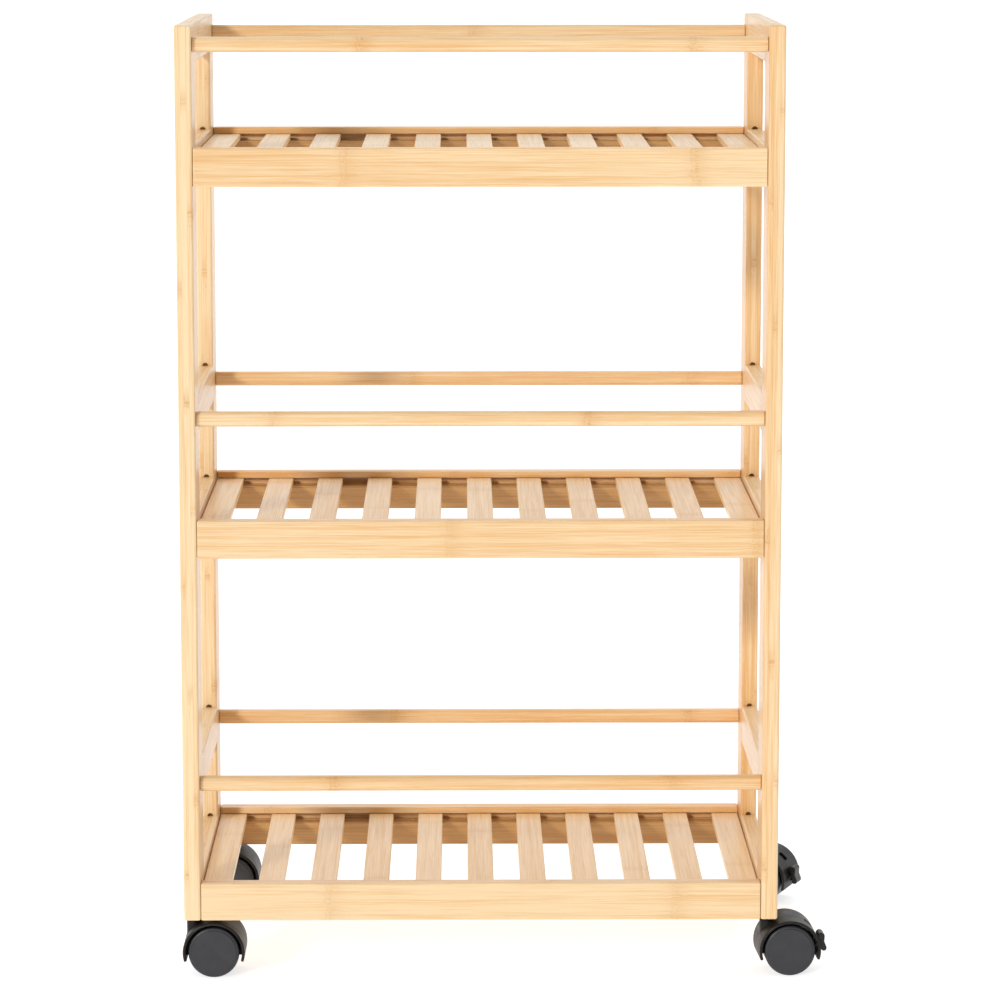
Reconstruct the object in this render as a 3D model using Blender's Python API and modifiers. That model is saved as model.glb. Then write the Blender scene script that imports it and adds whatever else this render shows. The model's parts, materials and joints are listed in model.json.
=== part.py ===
"""Rolling utility cart: a bamboo trolley with three slatted shelves on twin-wheel swivel casters.

Two ladder side frames (a front leg, a rear leg and six rails each) are tied together by the shelf
rails and the guard bars of three tiers. Each shelf is a deck of slats on two battens. A caster turns
on a steel stem in the foot of each leg, and the two right-hand casters have a brake lever.

Metres, +Z up, +X to the right, -Y to the front. The origin is on the floor, under the middle of the
overall box, so the wooden frame stands a little to the left of it: all casters trail to the right.
"""

import math

import bmesh
import bpy
from mathutils import Matrix

# ---- Wooden frame -------------------------------------------------------------------------------
FRAME_LENGTH = 0.500  # X, over the outer faces of the side frames
FRAME_DEPTH = 0.300  # Y, over the front and rear faces of the legs
LEG_LENGTH = 0.750
LEG_THICKNESS = 0.014  # X, the side rails have the same
LEG_WIDTH = 0.048  # Y
RAIL_HEIGHT = 0.032  # side rails and shelf rails
SHELF_RAIL_THICKNESS = 0.014
SHELF_RAIL_SETBACK = 0.0005  # behind the faces of the legs
GUARD_RISE = 0.100  # top of a shelf rail to the top of the side rail at guard height
EDGE_EASE = 0.0012  # small chamfer along the edges of the bars
JOINT_GAP = 0.0003  # between pieces that touch

GUARD_HEIGHT = 0.0125
GUARD_DEPTH = 0.012
GUARD_ROUNDING = 0.004
GUARD_SETBACK = 0.006  # behind the faces of the legs

SLAT_COUNT = 11
SLAT_WIDTH = 0.022
SLAT_THICKNESS = 0.0055
SLAT_DROP = 0.006  # top of a slat below the top of the shelf rails
END_SLAT_WIDTH = 0.0238
SLAT_END_GAP = 0.0007  # first and last slat to the side frames
BATTEN_THICKNESS = 0.012
BATTEN_BITE = 0.0003  # how far a batten and the slats on it run into each other

PEG_HOLE_DIAMETER = 0.005  # blind holes in the inner edges of the legs, on the rail tops
PEG_HOLE_DEPTH = 0.008

# ---- Casters ------------------------------------------------------------------------------------
CROWN_GAP = 0.0023  # top of the hood to the foot of the leg
TRAIL = 0.0174  # stem axis to wheel axle
WHEEL_DIAMETER = 0.043
WHEEL_WIDTH = 0.0185
WHEEL_EDGE_RADIUS = 0.002
WHEEL_RIM = 0.004
WHEEL_FACE_THICKNESS = 0.004
HUB_RADIUS = 0.006
HUB_BORE_DEPTH = 0.0135
WHEEL_SIDE_GAP = 0.0005  # wheel to the web between the wheels

HOOD_WEB = 0.005
HOOD_WALL = 0.0025
HOOD_CLEARANCE = 0.0022  # wheel tread to the inside of the hood
HOOD_RIM_REACH = 0.0015  # the hood's rim beyond the faces of the wheels
HOOD_SKIRT_DROP = 0.0073  # lower edge of the hood below the axle
NECK_DIAMETER = 0.0127
NECK_BORE_DEPTH = 0.0095

AXLE_DIAMETER = 0.005
STEM_DIAMETER = 0.007
STEM_GRIP = 0.030  # length of stem inside the leg
INSERT_DIAMETER = 0.010
INSERT_LENGTH = 0.022
RUNNING_GAP = 0.0003  # radial, round the stem and the axle

# Brake lever: its rounds are placed (outward, upward) from its pivot
LEVER_PIVOT_DEPTH = 0.0013  # inward of the hood's outer face
LEVER_PIVOT_RISE = 0.0030  # above the axle
LEVER_PIVOT_RADIUS = 0.0024
LEVER_WAIST = (0.0042, 0.0009)
LEVER_WAIST_RADIUS = 0.0017
LEVER_RELEASE_PAD = (0.0033, 0.0056)
LEVER_RELEASE_PAD_RADIUS = 0.0028
LEVER_LOCK_PAD = (0.0061, -0.0046)
LEVER_LOCK_PAD_RADIUS = 0.0022
LEVER_WIDTH = 0.014
LEVER_NECK_WIDTH = 0.008
LEVER_SIDE_GAP = 0.0006
TRUNNION_RADIUS = 0.0010
TRUNNION_LENGTH = 0.0024
EAR_RADIUS = 0.0020
EAR_WIDTH = 0.0030
WINDOW_REACH = (-0.0052, 0.0044)  # lowest and highest edge of the lever's window, from its pivot
SPRING_SLOT_DEG = (38.0, 57.0)  # slot in the crown of a braked hood, above the horizontal
SPRING_SLOT_WIDTH = 0.008

# ---- Fineness of round shapes --------------------------------------------------------------------
WHEEL_SEGMENTS = 32
HOOD_SEGMENTS = 48
PIN_SEGMENTS = 16
PAD_SEGMENTS = 16
EDGE_STEPS = 3
OVERSHOOT = 0.002  # how far a cutter runs past the face that it cuts

# ---- Names and places ----------------------------------------------------------------------------
TIERS = ("bottom", "middle", "top")
SIDES = {"left": -1, "right": 1}
ENDS = {"front": -1, "rear": 1}
CASTER_YAW_DEG = {
    ("front", "left"): 0.0,
    ("front", "right"): 3.0,
    ("rear", "left"): 0.0,
    ("rear", "right"): -22.0,
}
BRAKED_SIDE = "right"

# ---- Derived sizes --------------------------------------------------------------------------------
TIER_PITCH = (LEG_LENGTH - RAIL_HEIGHT - GUARD_RISE) / (len(TIERS) - 1)
BAY_LENGTH = FRAME_LENGTH - 2 * LEG_THICKNESS  # X, between the side frames
BAR_LENGTH = BAY_LENGTH - 2 * JOINT_GAP
LEG_X = (FRAME_LENGTH - LEG_THICKNESS) / 2
LEG_Y = (FRAME_DEPTH - LEG_WIDTH) / 2
SIDE_RAIL_LENGTH = FRAME_DEPTH - 2 * LEG_WIDTH - 2 * JOINT_GAP
SHELF_RAIL_Y = (FRAME_DEPTH - SHELF_RAIL_THICKNESS) / 2 - SHELF_RAIL_SETBACK
GUARD_Y = (FRAME_DEPTH - GUARD_DEPTH) / 2 - GUARD_SETBACK
DECK_HALF_DEPTH = SHELF_RAIL_Y - SHELF_RAIL_THICKNESS / 2 - JOINT_GAP

AXLE_HEIGHT = WHEEL_DIAMETER / 2
HOOD_INNER_RADIUS = WHEEL_DIAMETER / 2 + HOOD_CLEARANCE
HOOD_RADIUS = HOOD_INNER_RADIUS + HOOD_WALL
CASTER_HEIGHT = AXLE_HEIGHT + HOOD_RADIUS + CROWN_GAP  # floor to the foot of the leg
LEVER_PIVOT = (TRAIL + HOOD_RADIUS - LEVER_PIVOT_DEPTH, AXLE_HEIGHT + LEVER_PIVOT_RISE)
WHEEL_INNER_Y = HOOD_WEB / 2 + WHEEL_SIDE_GAP
WHEEL_OUTER_Y = WHEEL_INNER_Y + WHEEL_WIDTH
HOOD_HALF_WIDTH = WHEEL_OUTER_Y + HOOD_RIM_REACH
LEVER_REACH = LEVER_PIVOT[0] + LEVER_LOCK_PAD[0] + LEVER_LOCK_PAD_RADIUS
FRAME_X = (max(FRAME_LENGTH / 2, LEG_X - TRAIL + HOOD_RADIUS) - (LEG_X + LEVER_REACH)) / 2

# Base colour, metallic, roughness
BAMBOO = ("bamboo", (0.80, 0.58, 0.36), 0.0, 0.45)
BAMBOO_SLAT = ("bamboo_slat", (0.84, 0.62, 0.40), 0.0, 0.45)
HOOD_PLASTIC = ("hood_plastic", (0.035, 0.032, 0.030), 0.0, 0.40)
WHEEL_PLASTIC = ("wheel_plastic", (0.055, 0.055, 0.060), 0.0, 0.50)
STEEL = ("steel", (0.62, 0.62, 0.63), 1.0, 0.35)


# ---- Helpers --------------------------------------------------------------------------------------
def clear_scene():
    for obj in list(bpy.data.objects):
        bpy.data.objects.remove(obj, do_unlink=True)


def new_collection(name):
    collection = bpy.data.collections.new(name)
    bpy.context.scene.collection.children.link(collection)
    return collection


def new_material(node_name, finish):
    """One Principled material for one piece, named for the piece and its finish."""
    label, colour, metallic, roughness = finish
    material = bpy.data.materials.new(f"{node_name}_{label}")
    material.use_nodes = True
    shader = material.node_tree.nodes["Principled BSDF"]
    shader.inputs["Base Color"].default_value = (*colour, 1.0)
    shader.inputs["Metallic"].default_value = metallic
    shader.inputs["Roughness"].default_value = roughness
    return material


def new_object(name, mesh, parent, location=(0.0, 0.0, 0.0), rotation=(0.0, 0.0, 0.0)):
    obj = bpy.data.objects.new(name, mesh)
    obj.parent = parent
    obj.location = location
    obj.rotation_euler = rotation
    return obj


def add_piece(name, mesh, finish, parent, location=(0.0, 0.0, 0.0), rotation=(0.0, 0.0, 0.0)):
    """A piece of the cart: one object with its own mesh and material."""
    obj = new_object(name, mesh, parent, location, rotation)
    mesh.materials.append(new_material(name, finish))
    PIECES.objects.link(obj)
    return obj


def add_cutter(name, mesh, parent, location=(0.0, 0.0, 0.0), rotation=(0.0, 0.0, 0.0)):
    """A helper solid for a Boolean, kept out of the model."""
    obj = new_object(name, mesh, parent, location, rotation)
    obj.hide_render = True
    obj.display_type = "WIRE"
    CUTTERS.objects.link(obj)
    return obj


def boolean(obj, operation, helper):
    modifier = obj.modifiers.new(f"{operation.lower()}_{helper.name}", "BOOLEAN")
    modifier.operation = operation
    modifier.solver = "EXACT"
    modifier.object = helper


def ease_edges(obj, width, segments=1):
    modifier = obj.modifiers.new("eased_edges", "BEVEL")
    modifier.width = width
    modifier.segments = segments
    modifier.limit_method = "ANGLE"


def to_mesh(name, bm):
    mesh = bpy.data.meshes.new(name)
    bm.to_mesh(mesh)
    bm.free()
    return mesh


def add_box(bm, low, high):
    """A box between two opposite corners."""
    size = [b - a for a, b in zip(low, high)]
    centre = [(a + b) / 2 for a, b in zip(low, high)]
    matrix = Matrix.Translation(centre) @ Matrix.Diagonal((*size, 1.0))
    bmesh.ops.create_cube(bm, size=1.0, matrix=matrix)


def add_cylinder(bm, radius, length, centre, axis, segments):
    """A capped cylinder about a line along X, Y or Z through its centre."""
    turn = {
        "X": Matrix.Rotation(math.pi / 2, 4, "Y"),
        "Y": Matrix.Rotation(math.pi / 2, 4, "X"),
        "Z": Matrix.Identity(4),
    }[axis]
    bmesh.ops.create_cone(
        bm,
        cap_ends=True,
        segments=segments,
        radius1=radius,
        radius2=radius,
        depth=length,
        matrix=Matrix.Translation(centre) @ turn,
    )


def box_mesh(name, size):
    bm = bmesh.new()
    half = [value / 2 for value in size]
    add_box(bm, [-value for value in half], half)
    return to_mesh(name, bm)


def cylinder_mesh(name, radius, length, centre, axis, segments):
    bm = bmesh.new()
    add_cylinder(bm, radius, length, centre, axis, segments)
    return to_mesh(name, bm)


def smooth_round(mesh):
    mesh.shade_smooth()
    mesh.set_sharp_from_angle(angle=math.radians(30))


def turned_mesh(name, profile):
    """The open outline of a turned piece, as (radius, height) from the top centre to the bottom centre."""
    mesh = bpy.data.meshes.new(name)
    edges = [(i, i + 1) for i in range(len(profile) - 1)]
    mesh.from_pydata([(radius, 0.0, height) for radius, height in profile], edges, [])
    return mesh


def turn_profile(obj, segments):
    modifier = obj.modifiers.new("turned", "SCREW")
    modifier.axis = "Z"
    modifier.angle = math.tau
    modifier.screw_offset = 0.0
    modifier.steps = segments
    modifier.render_steps = segments
    modifier.use_merge_vertices = True
    modifier.merge_threshold = 0.00001
    modifier.use_smooth_shade = True


# ---- Wooden frame -----------------------------------------------------------------------------------
def shelf_rail_bottom(tier):
    return CASTER_HEIGHT + TIERS.index(tier) * TIER_PITCH


def shelf_rail_top(tier):
    return shelf_rail_bottom(tier) + RAIL_HEIGHT


def side_rail_tops():
    """Top face heights of the six rails of a side frame, by name."""
    tops = {}
    for tier in TIERS:
        tops[f"{tier}_shelf"] = shelf_rail_top(tier)
        tops[f"{tier}_guard"] = shelf_rail_top(tier) + GUARD_RISE
    return tops


def leg_cutter(name, end, leg):
    """Peg holes on every rail top that has leg above it, and the bore for the stem insert."""
    bm = bmesh.new()
    leg_top = CASTER_HEIGHT + LEG_LENGTH
    middle_height = CASTER_HEIGHT + LEG_LENGTH / 2
    hole_centre_y = -end * (LEG_WIDTH / 2 + (OVERSHOOT - PEG_HOLE_DEPTH) / 2)
    for top in side_rail_tops().values():
        if top + PEG_HOLE_DIAMETER < leg_top:
            centre = (0.0, hole_centre_y, top - middle_height)
            length = PEG_HOLE_DEPTH + OVERSHOOT
            add_cylinder(bm, PEG_HOLE_DIAMETER / 2, length, centre, "Y", PIN_SEGMENTS)
    depth = STEM_GRIP + JOINT_GAP
    bore_centre = (0.0, 0.0, -LEG_LENGTH / 2 + (depth - OVERSHOOT) / 2)
    radius = INSERT_DIAMETER / 2 + JOINT_GAP
    add_cylinder(bm, radius, depth + OVERSHOOT, bore_centre, "Z", PIN_SEGMENTS)
    return add_cutter(name, to_mesh(name, bm), leg)


def make_legs(cart):
    for end_name, end in ENDS.items():
        for side_name, side in SIDES.items():
            name = f"leg_{end_name}_{side_name}"
            mesh = box_mesh(name, (LEG_THICKNESS, LEG_WIDTH, LEG_LENGTH))
            place = (side * LEG_X, end * LEG_Y, CASTER_HEIGHT + LEG_LENGTH / 2)
            leg = add_piece(name, mesh, BAMBOO, cart, place)
            ease_edges(leg, EDGE_EASE)
            boolean(leg, "DIFFERENCE", leg_cutter(f"{name}_holes", end, leg))


def make_side_rails(cart):
    for side_name, side in SIDES.items():
        for level, top in side_rail_tops().items():
            name = f"side_rail_{side_name}_{level}"
            mesh = box_mesh(name, (LEG_THICKNESS, SIDE_RAIL_LENGTH, RAIL_HEIGHT))
            place = (side * LEG_X, 0.0, top - RAIL_HEIGHT / 2)
            ease_edges(add_piece(name, mesh, BAMBOO, cart, place), EDGE_EASE)


def make_shelf_rails(cart):
    for end_name, end in ENDS.items():
        for tier in TIERS:
            name = f"shelf_rail_{end_name}_{tier}"
            mesh = box_mesh(name, (BAR_LENGTH, SHELF_RAIL_THICKNESS, RAIL_HEIGHT))
            place = (0.0, end * SHELF_RAIL_Y, shelf_rail_bottom(tier) + RAIL_HEIGHT / 2)
            ease_edges(add_piece(name, mesh, BAMBOO, cart, place), EDGE_EASE)


def round_long_edges(mesh):
    """Rounds the four edges of a bar that run along X."""
    bm = bmesh.new()
    bm.from_mesh(mesh)
    along = [e for e in bm.edges if abs(e.verts[0].co.x - e.verts[1].co.x) > GUARD_DEPTH]
    bmesh.ops.bevel(
        bm, geom=along, offset=GUARD_ROUNDING, segments=EDGE_STEPS, profile=0.5, affect="EDGES"
    )
    bm.to_mesh(mesh)
    bm.free()


def make_guard_bars(cart):
    """A guard bar lies at half the height of the side rails beside it."""
    for end_name, end in ENDS.items():
        for tier in TIERS:
            name = f"guard_bar_{end_name}_{tier}"
            mesh = box_mesh(name, (BAR_LENGTH, GUARD_DEPTH, GUARD_HEIGHT))
            round_long_edges(mesh)
            smooth_round(mesh)
            height = shelf_rail_top(tier) + GUARD_RISE - RAIL_HEIGHT / 2
            add_piece(name, mesh, BAMBOO, cart, (0.0, end * GUARD_Y, height))


def slat_spans():
    """X of each slat's two edges, spread evenly over the bay; the end slats are wider on their outer side."""
    first = SLAT_END_GAP + END_SLAT_WIDTH - SLAT_WIDTH / 2 - BAY_LENGTH / 2
    pitch = -2 * first / (SLAT_COUNT - 1)
    centres = [first + i * pitch for i in range(SLAT_COUNT)]
    spans = [(x - SLAT_WIDTH / 2, x + SLAT_WIDTH / 2) for x in centres]
    end = BAY_LENGTH / 2 - SLAT_END_GAP
    return [(-end, spans[0][1]), *spans[1:-1], (spans[-1][0], end)]


def make_decks(cart):
    """The slats of a shelf and the two battens under their ends, joined into one deck."""
    slat_half = SLAT_THICKNESS / 2
    for tier in TIERS:
        name = f"slat_deck_{tier}"
        slat_middle = shelf_rail_top(tier) - SLAT_DROP - slat_half
        batten_low = shelf_rail_bottom(tier) - slat_middle
        batten_high = BATTEN_BITE - slat_half
        battens = bmesh.new()
        for end in ENDS.values():
            y_outer = end * DECK_HALF_DEPTH
            y_inner = end * (DECK_HALF_DEPTH - BATTEN_THICKNESS)
            low = (-BAR_LENGTH / 2, min(y_outer, y_inner), batten_low)
            high = (BAR_LENGTH / 2, max(y_outer, y_inner), batten_high)
            add_box(battens, low, high)
        deck = add_piece(name, to_mesh(name, battens), BAMBOO_SLAT, cart, (0.0, 0.0, slat_middle))
        slats = bmesh.new()
        for left, right in slat_spans():
            low = (left, -DECK_HALF_DEPTH, -slat_half)
            high = (right, DECK_HALF_DEPTH, slat_half)
            add_box(slats, low, high)
        boolean(deck, "UNION", add_cutter(f"{name}_slats", to_mesh(f"{name}_slats", slats), deck))


# ---- Casters ------------------------------------------------------------------------------------------
def wheel_profile():
    """Half section of one wheel: a cup with a hub, outer face at the top, blind hub bore at the bottom."""
    radius = WHEEL_DIAMETER / 2
    bore = AXLE_DIAMETER / 2 + RUNNING_GAP
    cup_floor = WHEEL_WIDTH - WHEEL_FACE_THICKNESS
    corner = (radius - WHEEL_EDGE_RADIUS, WHEEL_WIDTH - WHEEL_EDGE_RADIUS)
    arc = [math.pi / 2 * (1 - i / EDGE_STEPS) for i in range(EDGE_STEPS + 1)]
    face_edge = [
        (corner[0] + WHEEL_EDGE_RADIUS * math.cos(a), corner[1] + WHEEL_EDGE_RADIUS * math.sin(a))
        for a in arc
    ]
    return [
        (0.0, WHEEL_WIDTH),
        *face_edge,
        (radius, EDGE_EASE),
        (radius - EDGE_EASE, 0.0),
        (radius - WHEEL_RIM, 0.0),
        (radius - WHEEL_RIM, cup_floor),
        (HUB_RADIUS, cup_floor),
        (HUB_RADIUS, 0.0),
        (bore, 0.0),
        (bore, HUB_BORE_DEPTH),
        (0.0, HUB_BORE_DEPTH),
    ]


def make_wheels(prefix, swivel):
    """Each wheel's origin is on the axle, at its inner side, with its outer face away from the web."""
    for end_name, end in ENDS.items():
        name = f"{prefix}_wheel_{end_name}"
        place = (TRAIL, end * WHEEL_INNER_Y, AXLE_HEIGHT)
        turn = (-end * math.pi / 2, 0.0, 0.0)
        wheel = add_piece(name, turned_mesh(name, wheel_profile()), WHEEL_PLASTIC, swivel, place, turn)
        turn_profile(wheel, WHEEL_SEGMENTS)


def make_axle(prefix, swivel):
    name = f"{prefix}_axle"
    length = 2 * (WHEEL_INNER_Y + HUB_BORE_DEPTH - JOINT_GAP)
    centre = (0.0, 0.0, 0.0)
    mesh = cylinder_mesh(name, AXLE_DIAMETER / 2, length, centre, "Y", PIN_SEGMENTS)
    smooth_round(mesh)
    add_piece(name, mesh, STEEL, swivel, (TRAIL, 0.0, AXLE_HEIGHT))


def make_stem(prefix, foot):
    """The stem stands in the leg and reaches down into the neck of the hood, which turns on it."""
    low = CASTER_HEIGHT - NECK_BORE_DEPTH
    high = CASTER_HEIGHT + STEM_GRIP
    name = f"{prefix}_stem"
    centre = (0.0, 0.0, (low + high) / 2)
    mesh = cylinder_mesh(name, STEM_DIAMETER / 2, high - low, centre, "Z", PIN_SEGMENTS)
    smooth_round(mesh)
    add_piece(name, mesh, STEEL, foot)


def make_insert(prefix, foot):
    """A sleeve in the foot of the leg that holds the stem."""
    name = f"{prefix}_insert"
    middle = CASTER_HEIGHT + INSERT_LENGTH / 2
    outer, inner = INSERT_DIAMETER / 2, STEM_DIAMETER / 2 + JOINT_GAP
    mesh = cylinder_mesh(name, outer, INSERT_LENGTH, (0.0, 0.0, middle), "Z", PIN_SEGMENTS)
    smooth_round(mesh)
    insert = add_piece(name, mesh, STEEL, foot)
    length = INSERT_LENGTH + 2 * OVERSHOOT
    bore = cylinder_mesh(f"{name}_bore", inner, length, (0.0, 0.0, middle), "Z", PIN_SEGMENTS)
    boolean(insert, "DIFFERENCE", add_cutter(f"{name}_bore", bore, foot))


def ring_sector(bm, deg, half_width):
    """A block across the wall of the hood between two angles above the horizontal."""
    low, high = (math.radians(value) for value in deg)
    middle = (low + high) / 2
    depth = 2 * HOOD_RADIUS * math.sin((high - low) / 2)
    spread = Matrix.Diagonal((4 * HOOD_WALL, 2 * half_width, depth, 1.0))
    out = Matrix.Translation(((HOOD_INNER_RADIUS + HOOD_RADIUS) / 2, 0.0, 0.0))
    turn = Matrix.Rotation(-middle, 4, "Y")
    place = Matrix.Translation((TRAIL, 0.0, AXLE_HEIGHT))
    bmesh.ops.create_cube(bm, size=1.0, matrix=place @ turn @ out @ spread)


def hood_shell_mesh(name):
    axle = (TRAIL, 0.0, AXLE_HEIGHT)
    return cylinder_mesh(name, HOOD_RADIUS, 2 * HOOD_HALF_WIDTH, axle, "Y", HOOD_SEGMENTS)


def hood_neck_mesh(name):
    low, high = AXLE_HEIGHT, CASTER_HEIGHT - JOINT_GAP
    centre = (0.0, 0.0, (low + high) / 2)
    return cylinder_mesh(name, NECK_DIAMETER / 2, high - low, centre, "Z", 2 * PIN_SEGMENTS)


def hood_pockets_mesh(name):
    """The two wheel wells, either side of the web."""
    bm = bmesh.new()
    length = HOOD_HALF_WIDTH - HOOD_WEB / 2 + OVERSHOOT
    for end in ENDS.values():
        centre = (TRAIL, end * (HOOD_WEB / 2 + length / 2), AXLE_HEIGHT)
        add_cylinder(bm, HOOD_INNER_RADIUS, length, centre, "Y", HOOD_SEGMENTS)
    return to_mesh(name, bm)


def hood_skirt_mesh(name):
    """Everything below the lower edge of the hood."""
    bm = bmesh.new()
    reach = HOOD_RADIUS + OVERSHOOT
    width = HOOD_HALF_WIDTH + OVERSHOOT
    low = (TRAIL - reach, -width, AXLE_HEIGHT - reach)
    high = (TRAIL + reach, width, AXLE_HEIGHT - HOOD_SKIRT_DROP)
    add_box(bm, low, high)
    return to_mesh(name, bm)


def hood_bores_mesh(name):
    """The stem bore in the neck and the axle hole in the web."""
    bm = bmesh.new()
    high = CASTER_HEIGHT - JOINT_GAP
    centre = (0.0, 0.0, high + (OVERSHOOT - NECK_BORE_DEPTH) / 2)
    stem_radius = STEM_DIAMETER / 2 + RUNNING_GAP
    add_cylinder(bm, stem_radius, NECK_BORE_DEPTH + OVERSHOOT, centre, "Z", PIN_SEGMENTS)
    axle_radius = AXLE_DIAMETER / 2 + JOINT_GAP
    length = HOOD_WEB + 2 * OVERSHOOT
    add_cylinder(bm, axle_radius, length, (TRAIL, 0.0, AXLE_HEIGHT), "Y", PIN_SEGMENTS)
    return to_mesh(name, bm)


def hood_ears_mesh(name):
    """Bearing ears for the lever's trunnions, on both sides of its window."""
    bm = bmesh.new()
    x, z = LEVER_PIVOT
    inner = LEVER_NECK_WIDTH / 2 + LEVER_SIDE_GAP
    for end in ENDS.values():
        centre = (x, end * (inner + EAR_WIDTH / 2), z)
        add_cylinder(bm, EAR_RADIUS, EAR_WIDTH, centre, "Y", PAD_SEGMENTS)
    return to_mesh(name, bm)


def hood_window_mesh(name):
    """The lever's window in the end wall, and the slot in the crown."""
    bm = bmesh.new()
    half_width = LEVER_NECK_WIDTH / 2 + LEVER_SIDE_GAP
    inner = LEVER_PIVOT[0] - LEVER_PIVOT_RADIUS - LEVER_SIDE_GAP
    outer = TRAIL + HOOD_RADIUS + OVERSHOOT
    low = (inner, -half_width, LEVER_PIVOT[1] + WINDOW_REACH[0])
    high = (outer, half_width, LEVER_PIVOT[1] + WINDOW_REACH[1])
    add_box(bm, low, high)
    ring_sector(bm, SPRING_SLOT_DEG, SPRING_SLOT_WIDTH / 2)
    return to_mesh(name, bm)


def hood_trunnion_holes_mesh(name):
    bm = bmesh.new()
    x, z = LEVER_PIVOT
    inner = LEVER_NECK_WIDTH / 2 + LEVER_SIDE_GAP
    depth = TRUNNION_LENGTH
    radius = TRUNNION_RADIUS + RUNNING_GAP
    for end in ENDS.values():
        centre = (x, end * (inner + (depth - OVERSHOOT) / 2), z)
        add_cylinder(bm, radius, depth + OVERSHOOT, centre, "Y", PAD_SEGMENTS)
    return to_mesh(name, bm)


def make_hood(prefix, swivel, braked):
    """A moulded fender: a drum with a neck, two wheel wells, an open underside and its bores."""
    name = f"{prefix}_hood"
    hood = add_piece(name, hood_shell_mesh(name), HOOD_PLASTIC, swivel)
    steps = [
        ("UNION", "neck", hood_neck_mesh),
        ("DIFFERENCE", "wells", hood_pockets_mesh),
        ("DIFFERENCE", "skirt", hood_skirt_mesh),
        ("DIFFERENCE", "bores", hood_bores_mesh),
    ]
    if braked:
        steps += [
            ("UNION", "ears", hood_ears_mesh),
            ("DIFFERENCE", "window", hood_window_mesh),
            ("DIFFERENCE", "trunnion_holes", hood_trunnion_holes_mesh),
        ]
    for operation, label, build in steps:
        helper_name = f"{name}_{label}"
        boolean(hood, operation, add_cutter(helper_name, build(helper_name), swivel))


def arc_points(centre, radius, start, end):
    """Points on a round in the XZ plane, anticlockwise from one angle to another."""
    steps = PAD_SEGMENTS // 2
    angles = [start + (end - start) * i / steps for i in range(steps + 1)]
    return [(centre[0] + radius * math.cos(a), centre[1] + radius * math.sin(a)) for a in angles]


def capsule_mesh(name, first, first_radius, second, second_radius, width):
    """Two rounds in the lever's side view and their common tangents, extruded across the lever."""
    run, rise = second[0] - first[0], second[1] - first[1]
    heading = math.atan2(rise, run)
    tangent = math.acos((first_radius - second_radius) / math.hypot(run, rise))
    outline = [
        *arc_points(first, first_radius, heading + tangent, heading + math.tau - tangent),
        *arc_points(second, second_radius, heading - tangent, heading + tangent),
    ]
    bm = bmesh.new()
    loop = [bm.verts.new((x, -width / 2, z)) for x, z in outline]
    side = bm.faces.new(loop)
    grown = bmesh.ops.extrude_face_region(bm, geom=[side])["geom"]
    moved = [element for element in grown if isinstance(element, bmesh.types.BMVert)]
    bmesh.ops.translate(bm, vec=(0.0, width, 0.0), verts=moved)
    bmesh.ops.recalc_face_normals(bm, faces=bm.faces)
    return to_mesh(name, bm)


def make_brake_lever(prefix, swivel):
    """A rocker with a lock pad and a release pad, on two trunnions in the hood's ears."""
    name = f"{prefix}_brake_lever"
    x, z = LEVER_PIVOT
    neck = capsule_mesh(
        name, (0.0, 0.0), LEVER_PIVOT_RADIUS, LEVER_WAIST, LEVER_WAIST_RADIUS, LEVER_NECK_WIDTH
    )
    lever = add_piece(name, neck, HOOD_PLASTIC, swivel, (x, 0.0, z))
    pads = {
        "release_pad": (LEVER_RELEASE_PAD, LEVER_RELEASE_PAD_RADIUS),
        "lock_pad": (LEVER_LOCK_PAD, LEVER_LOCK_PAD_RADIUS),
    }
    for label, (place, radius) in pads.items():
        helper_name = f"{name}_{label}"
        pad = capsule_mesh(
            helper_name, LEVER_WAIST, LEVER_WAIST_RADIUS, place, radius, LEVER_WIDTH
        )
        boolean(lever, "UNION", add_cutter(helper_name, pad, lever))
    length = LEVER_NECK_WIDTH + 2 * (LEVER_SIDE_GAP + TRUNNION_LENGTH - JOINT_GAP)
    helper_name = f"{name}_trunnions"
    pin = cylinder_mesh(helper_name, TRUNNION_RADIUS, length, (0.0, 0.0, 0.0), "Y", PAD_SEGMENTS)
    boolean(lever, "UNION", add_cutter(helper_name, pin, lever))


def add_empty(name, parent, location, yaw=0.0):
    empty = new_object(name, None, parent, location, (0.0, 0.0, yaw))
    PIECES.objects.link(empty)
    return empty


def make_casters(cart):
    """Under each leg: the stem and insert stay with the leg, the rest turns on the swivel's empty."""
    for (end_name, side_name), yaw in CASTER_YAW_DEG.items():
        prefix = f"caster_{end_name}_{side_name}"
        place = (SIDES[side_name] * LEG_X, ENDS[end_name] * LEG_Y, 0.0)
        foot = add_empty(f"{prefix}_foot", cart, place)
        swivel = add_empty(f"{prefix}_swivel", cart, place, math.radians(yaw))
        braked = side_name == BRAKED_SIDE
        make_stem(prefix, foot)
        make_insert(prefix, foot)
        make_hood(prefix, swivel, braked)
        make_axle(prefix, swivel)
        make_wheels(prefix, swivel)
        if braked:
            make_brake_lever(prefix, swivel)


clear_scene()
PIECES = new_collection("rolling_utility_cart")
CUTTERS = new_collection("cutters")
CART = add_empty("cart", None, (FRAME_X, 0.0, 0.0))
make_legs(CART)
make_side_rails(CART)
make_shelf_rails(CART)
make_guard_bars(CART)
make_decks(CART)
make_casters(CART)
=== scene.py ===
import json
import math
from collections import namedtuple

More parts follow.
